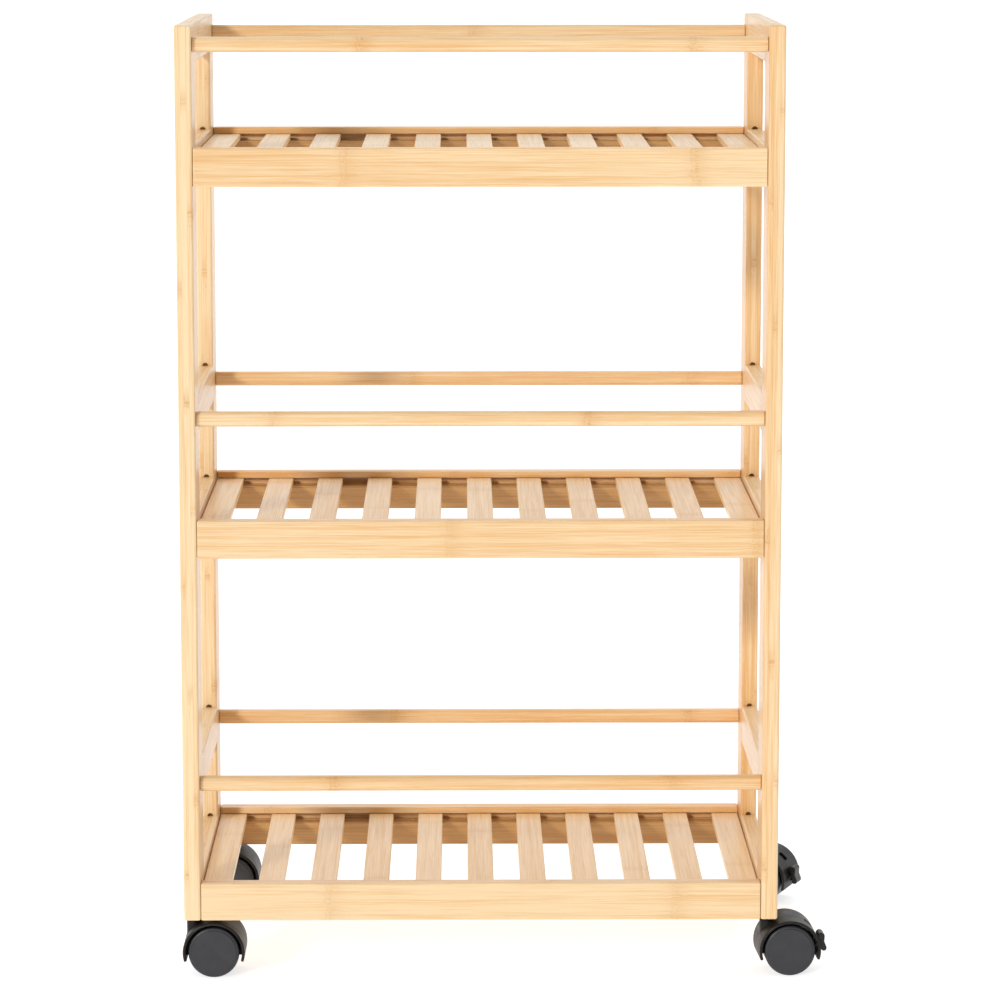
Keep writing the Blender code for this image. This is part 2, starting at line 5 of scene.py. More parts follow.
import bmesh
import bpy
import numpy as np
from bpy.props import FloatProperty, FloatVectorProperty, PointerProperty
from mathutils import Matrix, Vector


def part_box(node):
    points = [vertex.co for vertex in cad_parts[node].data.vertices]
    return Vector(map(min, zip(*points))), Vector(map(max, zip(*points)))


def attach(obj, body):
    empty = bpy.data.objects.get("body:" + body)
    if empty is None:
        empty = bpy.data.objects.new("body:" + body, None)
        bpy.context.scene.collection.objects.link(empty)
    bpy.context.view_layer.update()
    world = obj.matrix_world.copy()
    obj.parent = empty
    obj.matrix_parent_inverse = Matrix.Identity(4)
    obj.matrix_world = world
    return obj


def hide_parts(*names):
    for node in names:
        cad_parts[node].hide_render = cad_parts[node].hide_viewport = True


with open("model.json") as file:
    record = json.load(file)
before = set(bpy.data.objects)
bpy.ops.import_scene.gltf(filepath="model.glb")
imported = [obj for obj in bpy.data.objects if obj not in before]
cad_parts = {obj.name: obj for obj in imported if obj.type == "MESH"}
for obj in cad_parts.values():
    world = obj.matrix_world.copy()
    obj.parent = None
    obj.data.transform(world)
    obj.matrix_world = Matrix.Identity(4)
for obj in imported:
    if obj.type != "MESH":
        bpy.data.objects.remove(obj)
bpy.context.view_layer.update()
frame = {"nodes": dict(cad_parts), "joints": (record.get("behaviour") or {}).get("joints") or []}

bl_info = {
    "name": "Rolling Utility Cart",
    "version": (1, 0, 0),
    "blender": (4, 5, 0),
    "location": "View3D > Sidebar > Cart",
    "description": "Bamboo bars, slats and twin-wheel casters of a three-tier cart",
    "category": "Add Mesh",
}

# ---- What the frame says ----
JOINTS = {joint["name"]: joint for joint in frame["joints"]}
SIDES = ("left", "right")
ENDS = ("front", "rear")
TIERS = ("bottom", "middle", "top")
LEGS = [f"leg_{end}_{side}" for end in ENDS for side in SIDES]
SIDE_RAILS = [
    f"side_rail_{side}_{tier}_{kind}" for side in SIDES for tier in TIERS for kind in ("shelf", "guard")
]
SHELF_RAILS = [f"shelf_rail_{end}_{tier}" for end in ENDS for tier in TIERS]
GUARD_BARS = [f"guard_bar_{end}_{tier}" for end in ENDS for tier in TIERS]
DECKS = [f"slat_deck_{tier}" for tier in TIERS]

# ---- Fineness ----
EDGE_STEPS = 4  # segments in a quarter round
FLAT_LIP = 0.00015  # width of the strip that keeps a flat face flat next to its rounded edge
ROUND_SEGMENTS = 32
WHEEL_SEGMENTS = 96
ARCH_STATIONS = 72
WEB_STATIONS = 64
CAPSULE_STEPS = 14
SHARP_DEG = 40.0
OVERSHOOT = 0.002  # how far a cutter runs past the face that it cuts
SLIVER = 0.0001  # keeps two faces from falling on each other
GAP = 0.0003  # play round a piece in its hole or groove
CUTTER_EASE = 0.0003  # radius along the edges of a cutter
BAR_WEAR_AND_HIGHLIGHT = 0.0012  # how far in from the edges of a bar it is worn and lightened by a painted highlight
RIM_WEAR_AND_HIGHLIGHT = 0.0009  # how far in from the sides of a moulding it is worn and lightened by a painted highlight
SLAT_THICKNESS = 0.0055

# Distance in metres from the left (or lower) end of a bar to its first knuckle, and between knuckles
KNUCKLES = {
    "shelf_rail_front_top": (0.123, 0.288),
    "shelf_rail_front_middle": (0.209, 0.256),
    "shelf_rail_front_bottom": (0.107, 0.292),
    "guard_bar_front_top": (0.136, 0.273),
    "guard_bar_rear_top": (0.229, 0.270),
    "guard_bar_front_middle": (0.062, 0.262),
    "guard_bar_rear_middle": (0.176, 0.248),
    "guard_bar_front_bottom": (0.111, 0.285),
    "guard_bar_rear_bottom": (0.158, 0.266),
}
KNUCKLE_SPACING = 0.27
FIRST_KNUCKLE_RANGE, SPACING_RANGE = (0.02, 0.26), (0.24, 0.32)  # for bars that the table leaves out

# How much deeper than the middle tone of the stock a bar is, partly its own tone and partly painted light:
# the left legs paler and the right legs darker for the key light from the left
TONES_AND_PAINTED_LIGHT = {
    "leg_front_left": -0.22,
    "leg_front_right": 0.10,
    "leg_rear_left": -0.15,
    "leg_rear_right": 0.35,
    "guard_bar_rear_top": 0.10,
    "guard_bar_rear_middle": 0.25,
    "guard_bar_rear_bottom": 0.30,
    "guard_bar_front_top": -0.15,
    "guard_bar_front_middle": -0.10,
    "guard_bar_front_bottom": -0.02,
    "shelf_rail_front_top": 0.05,
    "shelf_rail_front_middle": 0.20,
    "shelf_rail_front_bottom": -0.02,
}
# The rear shelf rails are darker still, as painted shade below the slats.
TONES_AND_PAINTED_LIGHT |= {f"shelf_rail_rear_{tier}": 0.25 for tier in TIERS}
TONE_SPREAD = 0.09
STOCK_SEED = 23
STOCK_SHIFT, STOCK_NUMBERS = 8.0, 400.0  # a bar's place in the stock, in metres, and its number
STRIP_MARGIN = 0.02  # keeps a bar's faces off the glue lines, in strips
SCREW_HEAD_SHARE = 0.72
BOLT_HEIGHT, BOLT_EASE, BOLT_SOCKET_FLOOR = 0.0023, 0.0004, 0.0006
LEVEL = 1e-5  # corners of a deck this close in height are on one face


def length_property(label, description, default):
    return FloatProperty(
        name=label, description=description, default=default, min=0.0, precision=5, unit="LENGTH"
    )


def colour_property(label, description, default):
    return FloatVectorProperty(
        name=label, description=description, default=default, min=0.0, max=1.0, size=3, subtype="COLOR"
    )


def share_property(label, description, default):
    return FloatProperty(
        name=label, description=description, default=default, min=0.0, max=1.0, subtype="FACTOR"
    )


def strength_property(label, description, default):
    return FloatProperty(name=label, description=description, default=default, min=0.0)


def vector_property(label, description, default, **kind):
    return FloatVectorProperty(name=label, description=description, default=default, size=3, **kind)


class CartBamboo(bpy.types.PropertyGroup):
    """Sizes and colours of the laminated bamboo"""

    leg_round: length_property("Leg edge", "Radius along the edges of the legs", 0.0019)
    rail_round: length_property("Rail edge", "Radius along the edges of the rails", 0.0014)
    guard_round: length_property("Guard bar edge", "Radius along the edges of the guard bars", 0.0042)
    bar_end: length_property("Guard bar end", "Radius round the ends of the guard bars", 0.0007)
    groove: length_property("Groove", "Depth of the groove for the slats in the shelf rails", 0.0080)
    slat_round: length_property("Slat edge", "Radius along the edges of the slats", 0.0009)
    slat_light: colour_property("Slat light", "Palest tone of the slats", (0.90, 0.68, 0.41))
    slat_dark: colour_property("Slat dark", "Deepest tone of the slats", (0.76, 0.49, 0.21))
    bar_light: colour_property("Bar light", "Palest tone of the bars", (0.86, 0.66, 0.40))
    bar_dark: colour_property("Bar dark", "Deepest tone of the bars", (0.74, 0.41, 0.150))
    # The battens' colours are dark browns that stand for painted shade under the slats.
    batten_light: colour_property("Batten light", "Palest tone of the battens", (0.53, 0.31, 0.115))
    batten_dark: colour_property("Batten dark", "Deepest tone of the battens", (0.38, 0.185, 0.050))
    knuckle: colour_property("Knuckle", "Colour of the knuckle lines", (0.58, 0.26, 0.05))
    slat_knuckle: colour_property("Slat knuckle", "Colour of the slats' knuckles", (0.68, 0.43, 0.20))
    lacquer: share_property("Lacquer", "Weight of the clear satin lacquer", 0.35)
    peg_hole: length_property("Peg hole", "Diameter of the peg holes in the legs", 0.005)
    peg_hole_depth: length_property("Peg hole depth", "Depth of the peg holes", 0.008)
    foot_bore: length_property("Foot bore", "Diameter of the bore for the stem insert", 0.0106)
    foot_bore_depth: length_property("Foot bore depth", "Depth of the bore in the foot", 0.0303)
    bolt_head: length_property("Bolt head", "Diameter of the bolt heads in the legs", 0.0102)
    bolt_recess: length_property("Bolt recess", "Depth of a bolt head's counterbore", 0.0030)
    hex_key: length_property("Hex key", "Width across flats of the hex sockets", 0.0040)


class CartCasters(bpy.types.PropertyGroup):
    """Sizes and colours of the moulded casters"""

    hood_wall: length_property("Hood wall", "Thickness of the hood's arch", 0.0025)
    hood_web: length_property("Hood web", "Thickness of the web between the wheels", 0.005)
    hood_round: length_property("Hood edge", "Radius along the rims of the hood", 0.0008)
    neck: length_property("Neck", "Diameter of the hood's neck", 0.0127)
    stem_bore: length_property("Stem bore", "Diameter of the bore in the neck", 0.0076)
    stem_bore_depth: length_property("Stem bore depth", "Depth of the bore in the neck", 0.0095)
    axle_hole: length_property("Axle hole", "Diameter of the axle hole in the web", 0.0056)
    wheel_edge: length_property("Wheel edge", "Radius of the wheel's outer edge", 0.0018)
    face_disc: share_property("Face disc", "Radius of the wheel's face disc, as a share of its own", 0.885)
    face_groove: length_property("Face groove", "Depth of the step round the face disc", 0.0005)
    wheel_rim: length_property("Wheel rim", "Thickness of the wheel's tread wall", 0.004)
    wheel_face: length_property("Wheel face", "Thickness of the wheel's outer face", 0.004)
    hub: length_property("Hub", "Diameter of the wheel's hub", 0.012)
    hub_bore: length_property("Hub bore", "Diameter of the hub's bore", 0.0056)
    hub_bore_depth: length_property("Hub bore depth", "Depth of the hub's bore", 0.0135)
    lever_width: length_property("Lever", "Width of the brake lever's pads", 0.014)
    lever_neck: length_property("Lever neck", "Width of the lever where it passes the hood", 0.008)
    hood_colour: colour_property("Hood colour", "Black nylon of the hoods", (0.0125, 0.0110, 0.0098))
    wheel_colour: colour_property("Wheel colour", "Charcoal nylon of the wheels", (0.0300, 0.0300, 0.0340))
    lever_colour: colour_property("Lever colour", "Black nylon of the brake levers", (0.0120, 0.0118, 0.0115))


class CartStage(bpy.types.PropertyGroup):
    """Floor, light and camera"""

    camera_place: vector_property("Camera", "Where the camera is", (-0.0377, -3.483, 0.918), unit="LENGTH")
    camera_aim: vector_property("Aim", "The point it looks at", (-0.0034, 0.0, 0.3855), unit="LENGTH")
    lens_mm: FloatProperty(name="Lens", description="Focal length on a 36 mm sensor", default=146.3, min=10.0)
    key_strength: strength_property("Key", "Strength of the key light", 1.65)
    key_way: vector_property("Key way", "Where the key light shines", (0.58, 1.0, -0.42), subtype="DIRECTION")
    backdrop: strength_property("Backdrop", "Strength of the white backdrop", 1.02)
    room: strength_property("Room", "Strength of the light from the rest of the room", 0.19)
    ceiling: strength_property("Ceiling", "Strength of the light from overhead", 0.40)
    floor_glow: strength_property("Floor glow", "Light from the lit studio floor", 0.70)
    floor: colour_property("Floor", "Colour of the studio floor", (0.60, 0.60, 0.60))


# ---- Surfaces ----
def unit(angle):
    """(cos t, sin t) for each angle t."""
    return np.stack([np.cos(angle), np.sin(angle)], axis=-1)


def rounded_rectangle(half_a, half_b, radius):
    """Outline of a rectangle with quarter rounds: each corner's centre plus the radius times (cos t, sin
    t), t turning a quarter per corner, with one point a lip's width before and after each round. Gives
    the points and their outward normals, anticlockwise."""
    quarter = np.linspace(0.0, math.pi / 2, EDGE_STEPS + 1)
    turn = np.concatenate([quarter[:1], quarter, quarter[-1:]])
    slide = np.concatenate([[-FLAT_LIP], np.zeros(EDGE_STEPS + 1), [FLAT_LIP]])
    angle = np.arange(4)[:, None] * math.pi / 2 + turn[None]
    normals = unit(angle)
    tangents = np.stack([-np.sin(angle), np.cos(angle)], axis=-1)
    signs = np.array([(1, 1), (-1, 1), (-1, -1), (1, -1)])
    centres = signs * (half_a - radius, half_b - radius)
    points = centres[:, None] + radius * normals + slide[None, :, None] * tangents
    return points.reshape(-1, 2), normals.reshape(-1, 2)


def circle(radius, segments=ROUND_SEGMENTS):
    """Outline of a round: the radius times (cos t, sin t), t over a whole turn; the normals are (cos t,
    sin t)."""
    normals = unit(np.arange(segments) * math.tau / segments)
    return radius * normals, normals


def capsule(first, first_radius, second, second_radius):
    """Outline of two rounds and their common tangents: an arc about the first centre on the far side of
    the tangent points, then one about the second, with the arcs' own normals."""
    run, rise = second[0] - first[0], second[1] - first[1]
    heading = math.atan2(rise, run)
    tangent = math.acos((first_radius - second_radius) / math.hypot(run, rise))
    far = np.linspace(heading + tangent, heading + math.tau - tangent, CAPSULE_STEPS)
    near = np.linspace(heading - tangent, heading + tangent, CAPSULE_STEPS)
    normals = unit(np.concatenate([far, near]))
    radius = np.repeat([first_radius, second_radius], CAPSULE_STEPS)[:, None]
    return np.repeat([first, second], CAPSULE_STEPS, axis=0) + radius * normals, normals


def stations(length, edge, between=0):
    """Distances along a bar and how far its outline is drawn in there: near each end the inset is the
    edge times one minus cos t at a distance of the edge times one minus sin t, t over a quarter turn;
    none in between."""
    turn = np.linspace(math.pi / 2, 0.0, EDGE_STEPS + 1)
    rise = np.concatenate([[0.0], edge * (1 - np.sin(turn)), [edge + FLAT_LIP]])
    inset = np.concatenate([[edge + FLAT_LIP], edge * (1 - np.cos(turn)), [0.0]])
    middle = np.linspace(rise[-1], length - rise[-1], between + 2)[1:-1]
    along = np.concatenate([rise, middle, length - rise[::-1]])
    return along, np.concatenate([inset, np.zeros(between), inset[::-1]])


def lifted(flat, height):
    """Rings of flat points, each lifted to its own height. Rings by points by three."""
    rise = np.broadcast_to(height[:, None, None], (*flat.shape[:2], 1))
    return np.concatenate([flat, rise], axis=2)


def prism(outline, low, high, edge):
    """A bar: the outline (points, normals) in the first two coordinates, less the station's inset times
    its normals, carried along the third from low to high."""
    points, normals = outline
    along, inset = stations(high - low, edge)
    return lifted(points[None] - inset[:, None, None] * normals[None], low + along)


def turned(profile, segments=WHEEL_SEGMENTS):
    """A turned body about the third axis: ring i is the profile's radius i times (cos t, sin t) at its
    height i, t over a whole turn."""
    radius, height = np.array(profile).T
    return lifted(radius[:, None, None] * circle(1.0, segments)[0][None], height)


def quarter_round(centre, radius, start_deg, end_deg):
    """Points on an arc of a profile: the centre plus the radius times (cos t, sin t), t between two
    angles."""
    angle = np.radians(np.linspace(start_deg, end_deg, 2 * EDGE_STEPS + 1))
    return (np.array(centre) + radius * unit(angle)).tolist()


def bar(low, high, axis, radius, end_radius=None):
    """A straight bar that fills a box, along one of its axes, with rounded edges and ends."""
    low, high = np.array(low), np.array(high)
    k = "XYZ".index(axis)
    size, centre = high - low, (low + high) / 2
    outline = rounded_rectangle(size[(k + 1) % 3] / 2, size[(k + 2) % 3] / 2, radius)
    rings = prism(outline, -size[k] / 2, size[k] / 2, end_radius or radius - 1.5 * FLAT_LIP)
    return np.roll(rings, k + 1, axis=-1) + centre


def side_view(rings):
    """Lays a body drawn in (x, z) and carried along its third axis down along -Y."""
    return np.stack([rings[..., 0], -rings[..., 2], rings[..., 1]], axis=-1)


def lying(radius, low, high, axis):
    """A plain round bar from low to high along X, Y or Z through the origin, for cutting holes."""
    rings = prism(circle(radius), low, high, radius / 8)
    return np.roll(rings, "XYZ".index(axis) + 1, axis=-1)


def mesh_of(name, rings):
    """A closed mesh over rings of points: quads between neighbouring rings and one face over each end."""
    count, around = rings.shape[:2]
    first = np.arange(count - 1)[:, None] * around
    side = np.arange(around)[None]
    after = (side + 1) % around
    quads = np.stack([first + side, first + after, first + around + after, first + around + side], axis=-1)
    start = np.arange(around)[::-1].tolist()
    end = (np.arange(around) + (count - 1) * around).tolist()
    mesh = bpy.data.meshes.new(name)
    mesh.from_pydata(rings.reshape(-1, 3).tolist(), [], [*quads.reshape(-1, 4).tolist(), start, end])
    return mesh


def coordinates(mesh):
    flat = np.empty(len(mesh.vertices) * 3, np.float32)
    mesh.vertices.foreach_get("co", flat)
    return flat.reshape(-1, 3).astype(float)


def write_attribute(mesh, name, values):
    """Stores a number or a vector for each vertex."""
    values = np.asarray(values, np.float32)
    kind, key = ("FLOAT_VECTOR", "vector") if values.ndim == 2 else ("FLOAT", "value")
    mesh.attributes.new(name, kind, "POINT").data.foreach_set(key, values.ravel())


def new_object(name, rings):
    obj = bpy.data.objects.new(name, mesh_of(name, rings))
    bpy.context.scene.collection.objects.link(obj)
    return obj


def carve(obj, steps):
    """Joins and cuts with helper bodies, in order, closes any slit that the cuts have left, and keeps the
    result as the object's own mesh."""
    helpers = []
    for i, (operation, rings) in enumerate(steps):
        helper = new_object(f"{obj.name}_step_{i}", rings)
        helpers.append(helper)
        modifier = obj.modifiers.new(f"step_{i}", "BOOLEAN")
        modifier.operation = operation
        modifier.solver = "EXACT"
        modifier.object = helper
    graph = bpy.context.evaluated_depsgraph_get()
    result = bpy.data.meshes.new_from_object(obj.evaluated_get(graph))
    shape = bmesh.new()
    shape.from_mesh(result)
    bmesh.ops.holes_fill(shape, edges=shape.edges[:], sides=0)
    shape.to_mesh(result)
    shape.free()
    obj.modifiers.clear()
    old = obj.data
    obj.data = result
    bpy.data.meshes.remove(old)
    for helper in helpers:
        mesh = helper.data
        bpy.data.objects.remove(helper)
        bpy.data.meshes.remove(mesh)


def finish_piece(obj, body, material, nodes=()):
    """Shades a piece, gives it its material and ties it to its body and to the nodes it stands for."""
    obj.data.materials.clear()
    obj.data.materials.append(material)
    obj.data.shade_smooth()
    obj.data.set_sharp_from_angle(angle=math.radians(SHARP_DEG))
    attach(obj, body)
    if nodes:
        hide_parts(*nodes)


# ---- Node trees ----
class Graph:
    """A node tree written as calls: each adds one node and gives back its main output."""

    def __init__(self, tree):
        self.tree = tree

    def feed(self, socket, value):
        if isinstance(value, bpy.types.NodeSocket):
            self.tree.links.new(value, socket)
        else:
            socket.default_value = value

    def node(self, kind, inputs=None, **settings):
        made = self.tree.nodes.new(kind)
        for key, value in settings.items():
            setattr(made, key, value)
        for label, value in (inputs or {}).items():
            self.feed(made.inputs[label], value)
        return made

    def math(self, operation, *values):
        made = self.node("ShaderNodeMath", operation=operation)
        for socket, value in zip(made.inputs, values):
            self.feed(socket, value)
        return made.outputs[0]

    def less(self, first, second):
        return self.math("SUBTRACT", first, second)

    def add(self, *values):
        total = values[0]
        for value in values[1:]:
            total = self.math("ADD", total, value)
        return total

    def times(self, *values):
        total = values[0]
        for value in values[1:]:
            total = self.math("MULTIPLY", total, value)
        return total

    def vector(self, x, y, z):
        return self.node("ShaderNodeCombineXYZ", {"X": x, "Y": y, "Z": z}).outputs[0]

    def split(self, vector):
        return self.node("ShaderNodeSeparateXYZ", {"Vector": vector}).outputs[:3]

    def scaled(self, vector, factor):
        made = self.node("ShaderNodeVectorMath", operation="SCALE")
        self.feed(made.inputs[0], vector)
        self.feed(made.inputs["Scale"], factor)
        return made.outputs[0]

    def noise(self, place, detail=2.0):
        return self.node("ShaderNodeTexNoise", {"Vector": place, "Scale": 1.0, "Detail": detail}).outputs[0]

    def swing(self, place, reach):
        """Noise about nought, reach times what it is from its middle."""
        return self.times(self.less(self.noise(place), 0.5), reach)

    def chance(self, seed):
        """A random number from 0 to 1 for each value of the seed."""
        return self.node("ShaderNodeTexWhiteNoise", {"W": seed}, noise_dimensions="1D").outputs[0]

    def bell(self, distance, width):
        """exp(-(distance / width) squared)."""
        share = self.math("DIVIDE", distance, width)
        return self.math("EXPONENT", self.times(share, share, -1.0))

    def ramp(self, value, low, high):
        """A smooth step from 0 at low to 1 at high."""
        span = {"Value": value, "From Min": low, "From Max": high}
        return self.node("ShaderNodeMapRange", span, interpolation_type="SMOOTHSTEP").outputs[0]

    def mix(self, factor, first, second):
        made = self.node("ShaderNodeMix", data_type="RGBA", clamp_factor=True)
        for index, value in ((0, factor), (6, first), (7, second)):
            self.feed(made.inputs[index], value)
        return made.outputs[2]

    def attribute(self, name):
        return self.node("ShaderNodeAttribute", attribute_name=name)

    def group(self, name, inputs):
        made = self.node("ShaderNodeGroup", node_tree=bpy.data.node_groups[name])
        for label, value in inputs.items():
            self.feed(made.inputs[label], value)
        return made.outputs


def rgba(colour, factor=1.0, lift=0.0):
    """A colour times a factor plus a lift, with an alpha of one."""
    return (*(value * factor + lift for value in colour), 1.0)


def new_group(name, inputs, outputs):
    """An empty shader node group with named sockets: its graph, its inputs and its outputs."""
    kinds = {"f": "NodeSocketFloat", "v": "NodeSocketVector", "c": "NodeSocketColor"}
    tree = bpy.data.node_groups.new(name, "ShaderNodeTree")
    for label, kind in inputs.items():
        tree.interface.new_socket(name=label, in_out="INPUT", socket_type=kinds[kind])
    for label, kind in outputs.items():
        tree.interface.new_socket(name=label, in_out="OUTPUT", socket_type=kinds[kind])
    given = tree.nodes.new("NodeGroupInput").outputs
    return Graph(tree), given, tree.nodes.new("NodeGroupOutput").inputs


def build_bamboo_figure():
    """Laminated bamboo as a solid pattern in the stock's own frame: x along the fibres and y across them
    in metres, z counting the strips through the lamination. Each strip has its own tone, streaks, short
    dark vessels and knuckles. A knuckle is a soft ragged line across the strip, then a band of dashes in
    a faint halo, with the fibres curling round it. Widths are in metres, and the factors of x and y are
    cells a metre."""
    inputs = {"Grain": "v", "Knuckle": "f", "Seed": "f", "Tone": "f", "Light": "c", "Dark": "c", "Mark": "c"}
    g, given, result = new_group("bamboo_figure", inputs, {"Colour": "c", "Roughness": "f", "Height": "f"})
    x, y, z = g.split(given["Grain"])
    layer = g.math("FLOOR", z)
    strip = g.add(g.times(layer, 3.71), given["Seed"])
    phase = g.add(given["Knuckle"], g.times(layer, 0.37))
    cell = g.math("ROUND", phase)
    offset = g.times(g.less(phase, cell), KNUCKLE_SPACING)
    knot = g.add(g.times(cell, 5.3), strip)
    ragged = g.swing(g.vector(knot, g.times(y, 130.0), g.times(z, 0.6)), 0.008)
    frayed = g.swing(g.vector(knot, g.times(y, 900.0), g.times(z, 3.0)), 0.0030)
    distance = g.add(offset, ragged, frayed)
    nearby = g.bell(distance, 0.011)
    curl = g.swing(g.vector(g.times(x, 150.0), g.times(y, 110.0), knot), 0.0045)
    y_fibre = g.add(y, g.times(nearby, curl))

    def fibres(along, across, through):
        return g.vector(g.times(x, along), g.times(y_fibre, across), g.add(g.times(z, through), strip))

    broad = g.swing(fibres(4.0, 210.0, 1.0), 1.25)
    fine = g.swing(fibres(11.0, 900.0, 4.2), 1.5)
    hair = g.swing(fibres(30.0, 2600.0, 13.0), 1.5)
    drift = g.swing(g.vector(g.times(x, 1.7), g.times(y, 8.0), strip), 1.1)
    own = g.times(g.less(g.chance(strip), 0.5), 0.5)
    depth = g.add(0.42, broad, fine, hair, drift, own, given["Tone"])
    wood = g.mix(depth, given["Light"], given["Dark"])

    broken = g.ramp(g.noise(g.vector(knot, g.times(y, 520.0), g.times(x, 260.0))), 0.32, 0.60)
    dashes = g.ramp(g.noise(g.vector(g.times(x, 420.0), g.times(y, 1500.0), knot)), 0.42, 0.66)
    strength = g.add(0.45, g.times(g.chance(knot), 0.55))
    ring = g.times(g.bell(g.add(distance, 0.0018), 0.0009), g.add(0.30, g.times(broken, 0.45)))
    band = g.times(g.bell(g.less(distance, 0.0018), 0.0038), dashes)
    lines = g.times(g.math("MAXIMUM", ring, band), strength)
    halo = g.times(g.bell(g.less(distance, 0.003), 0.0090), strength, 0.30)
    knuckle = g.math("MAXIMUM", g.times(lines, 0.80), halo)
    marked = g.mix(knuckle, wood, given["Mark"])

    vessel = g.ramp(g.noise(fibres(36.0, 1500.0, 7.0)), 0.66, 0.78)
    inside = g.math("FRACT", z)
    seam = g.math("MINIMUM", inside, g.less(1.0, inside))
    glue = g.less(1.0, g.ramp(seam, 0.0, 0.035))
    dark_marks = g.math("MAXIMUM", g.times(vessel, 0.42), g.times(glue, 0.22))
    g.feed(result["Colour"], g.mix(dark_marks, marked, given["Mark"]))
    g.feed(result["Roughness"], g.add(0.40, g.times(fine, 0.35), g.times(knuckle, 0.12)))
    g.feed(result["Height"], g.add(fine, g.times(hair, 0.6), g.times(vessel, -0.8), g.times(glue, -0.8)))


def build_worn_and_highlit_edges():
    """Where handling has worn an edge and a painted highlight lightens it: the edge mask, broken up by noise.
    """
    g, given, result = new_group("edge_wear", {"Edge": "f", "Place": "v"}, {"Wear": "f"})
    patches = g.noise(g.scaled(given["Place"], 160.0), 3.0)
    g.feed(result["Wear"], g.times(g.ramp(given["Edge"], 0.15, 0.9), g.ramp(patches, 0.25, 0.7)))


def build_moulded_skin():
    """Spark-eroded mould texture: fine grain, faint flow clouds, and the height of both."""
    g, given, result = new_group("moulded_skin", {"Place": "v", "Grain": "f"}, {"Cloud": "f", "Height": "f"})
    grain = g.noise(g.scaled(given["Place"], given["Grain"]), 3.0)
    cloud = g.noise(g.scaled(given["Place"], 95.0), 3.0)
    g.feed(result["Cloud"], g.add(g.times(g.less(cloud, 0.5), 1.6), g.times(grain, 0.5), 0.25))
    g.feed(result["Height"], g.add(grain, g.times(cloud, 0.2)))


def build_plated_skin():
    """Bright zinc plating: spangle and fine drawing lines along Z."""
    g, given, result = new_group("plated_skin", {"Place": "v"}, {"Tone": "f", "Height": "f"})
    x, y, z = g.split(given["Place"])
    drawn = g.noise(g.vector(g.times(x, 2600.0), g.times(y, 2600.0), g.times(z, 90.0)), 3.0)
    spangle = g.noise(g.scaled(given["Place"], 420.0), 2.0)
    g.feed(result["Tone"], g.add(g.times(drawn, 0.6), g.times(spangle, 0.4)))
    g.feed(result["Height"], drawn)


def new_material(name, **fixed):
    """A Principled material with its uniform values set on the shader's own sockets."""
    material = bpy.data.materials.new(name)
    material.use_nodes = True
    g = Graph(material.node_tree)
    shader = material.node_tree.nodes["Principled BSDF"]
    for label, value in fixed.items():
        shader.inputs[label.replace("_", " ")].default_value = value
    return material, g, shader


def bump(g, shader, height, distance, strength):
    made = g.node("ShaderNodeBump", {"Height": height, "Distance": distance, "Strength": strength})
    g.feed(shader.inputs["Normal"], made.outputs[0])


def bamboo_material(name, light, dark, mark):
    """Bamboo under satin lacquer. The mesh's own attributes hold the stock's frame and its knuckles."""
    wood = bpy.context.scene.cart_bamboo
    coat = {"Coat_Weight": wood.lacquer, "Coat_Roughness": 0.24, "Specular_IOR_Level": 0.42}
    material, g, shader = new_material(name, **coat)
    grain = g.attribute("grain").outputs["Vector"]
    knuckle, seed, tone = g.split(g.attribute("stock").outputs["Vector"])
    stock = {"Grain": grain, "Knuckle": knuckle, "Seed": seed, "Tone": tone}
    colours = {"Light": rgba(light), "Dark": rgba(dark), "Mark": rgba(mark)}
    figure = g.group("bamboo_figure", {**stock, **colours})
    wear_and_highlight = g.group("edge_wear", {"Edge": g.attribute("edge").outputs["Fac"], "Place": grain})["Wear"]
    # Edges mixed towards the pale tone: partly worn, partly a painted highlight along the edges.
    worn_and_highlit = g.mix(g.times(wear_and_highlight, 0.30), figure["Colour"], rgba(light))
    g.feed(shader.inputs["Base Color"], worn_and_highlit)
    g.feed(shader.inputs["Roughness"], g.add(figure["Roughness"], g.times(wear_and_highlight, 0.08)))
    bump(g, shader, figure["Height"], 0.00012, 0.5)
    return material


def moulded_material(name, colour, roughness, grain_scale, shine=0.4):
    """Moulded nylon with a fine texture, faint clouds and slightly polished edges, whose lighter grey is
    partly worn and partly a painted highlight on the rims.
    """
    material, g, shader = new_material(name, Specular_IOR_Level=shine)
    place = g.node("ShaderNodeTexCoord").outputs["Object"]
    skin = g.group("moulded_skin", {"Place": place, "Grain": grain_scale})
    wear_and_highlight = g.group("edge_wear", {"Edge": g.attribute("edge").outputs["Fac"], "Place": place})["Wear"]
    body = g.mix(skin["Cloud"], rgba(colour, 0.80), rgba(colour, 1.25))
    # Edges mixed towards a lighter grey: partly worn, partly a painted highlight on the rims and wheel edges.
    g.feed(shader.inputs["Base Color"], g.mix(g.times(wear_and_highlight, 0.45), body, rgba(colour, 2.2, 0.004)))
    clouded = g.times(g.less(skin["Cloud"], 0.5), 0.16)
    g.feed(shader.inputs["Roughness"], g.add(roughness, clouded, g.times(wear_and_highlight, -0.12)))
    bump(g, shader, skin["Height"], 0.00006, 0.6)
    return material


def plated_material(name, low, high, roughness):
    """Plated steel between two greys."""
    material, g, shader = new_material(name, Metallic=1.0)
    place = g.node("ShaderNodeTexCoord").outputs["Object"]
    skin = g.group("plated_skin", {"Place": place})
    g.feed(shader.inputs["Base Color"], g.mix(skin["Tone"], rgba(low), rgba(high)))
    g.feed(shader.inputs["Roughness"], g.add(roughness, g.times(g.less(skin["Tone"], 0.5), 0.25)))
    bump(g, shader, skin["Height"], 0.00003, 0.5)
    return material


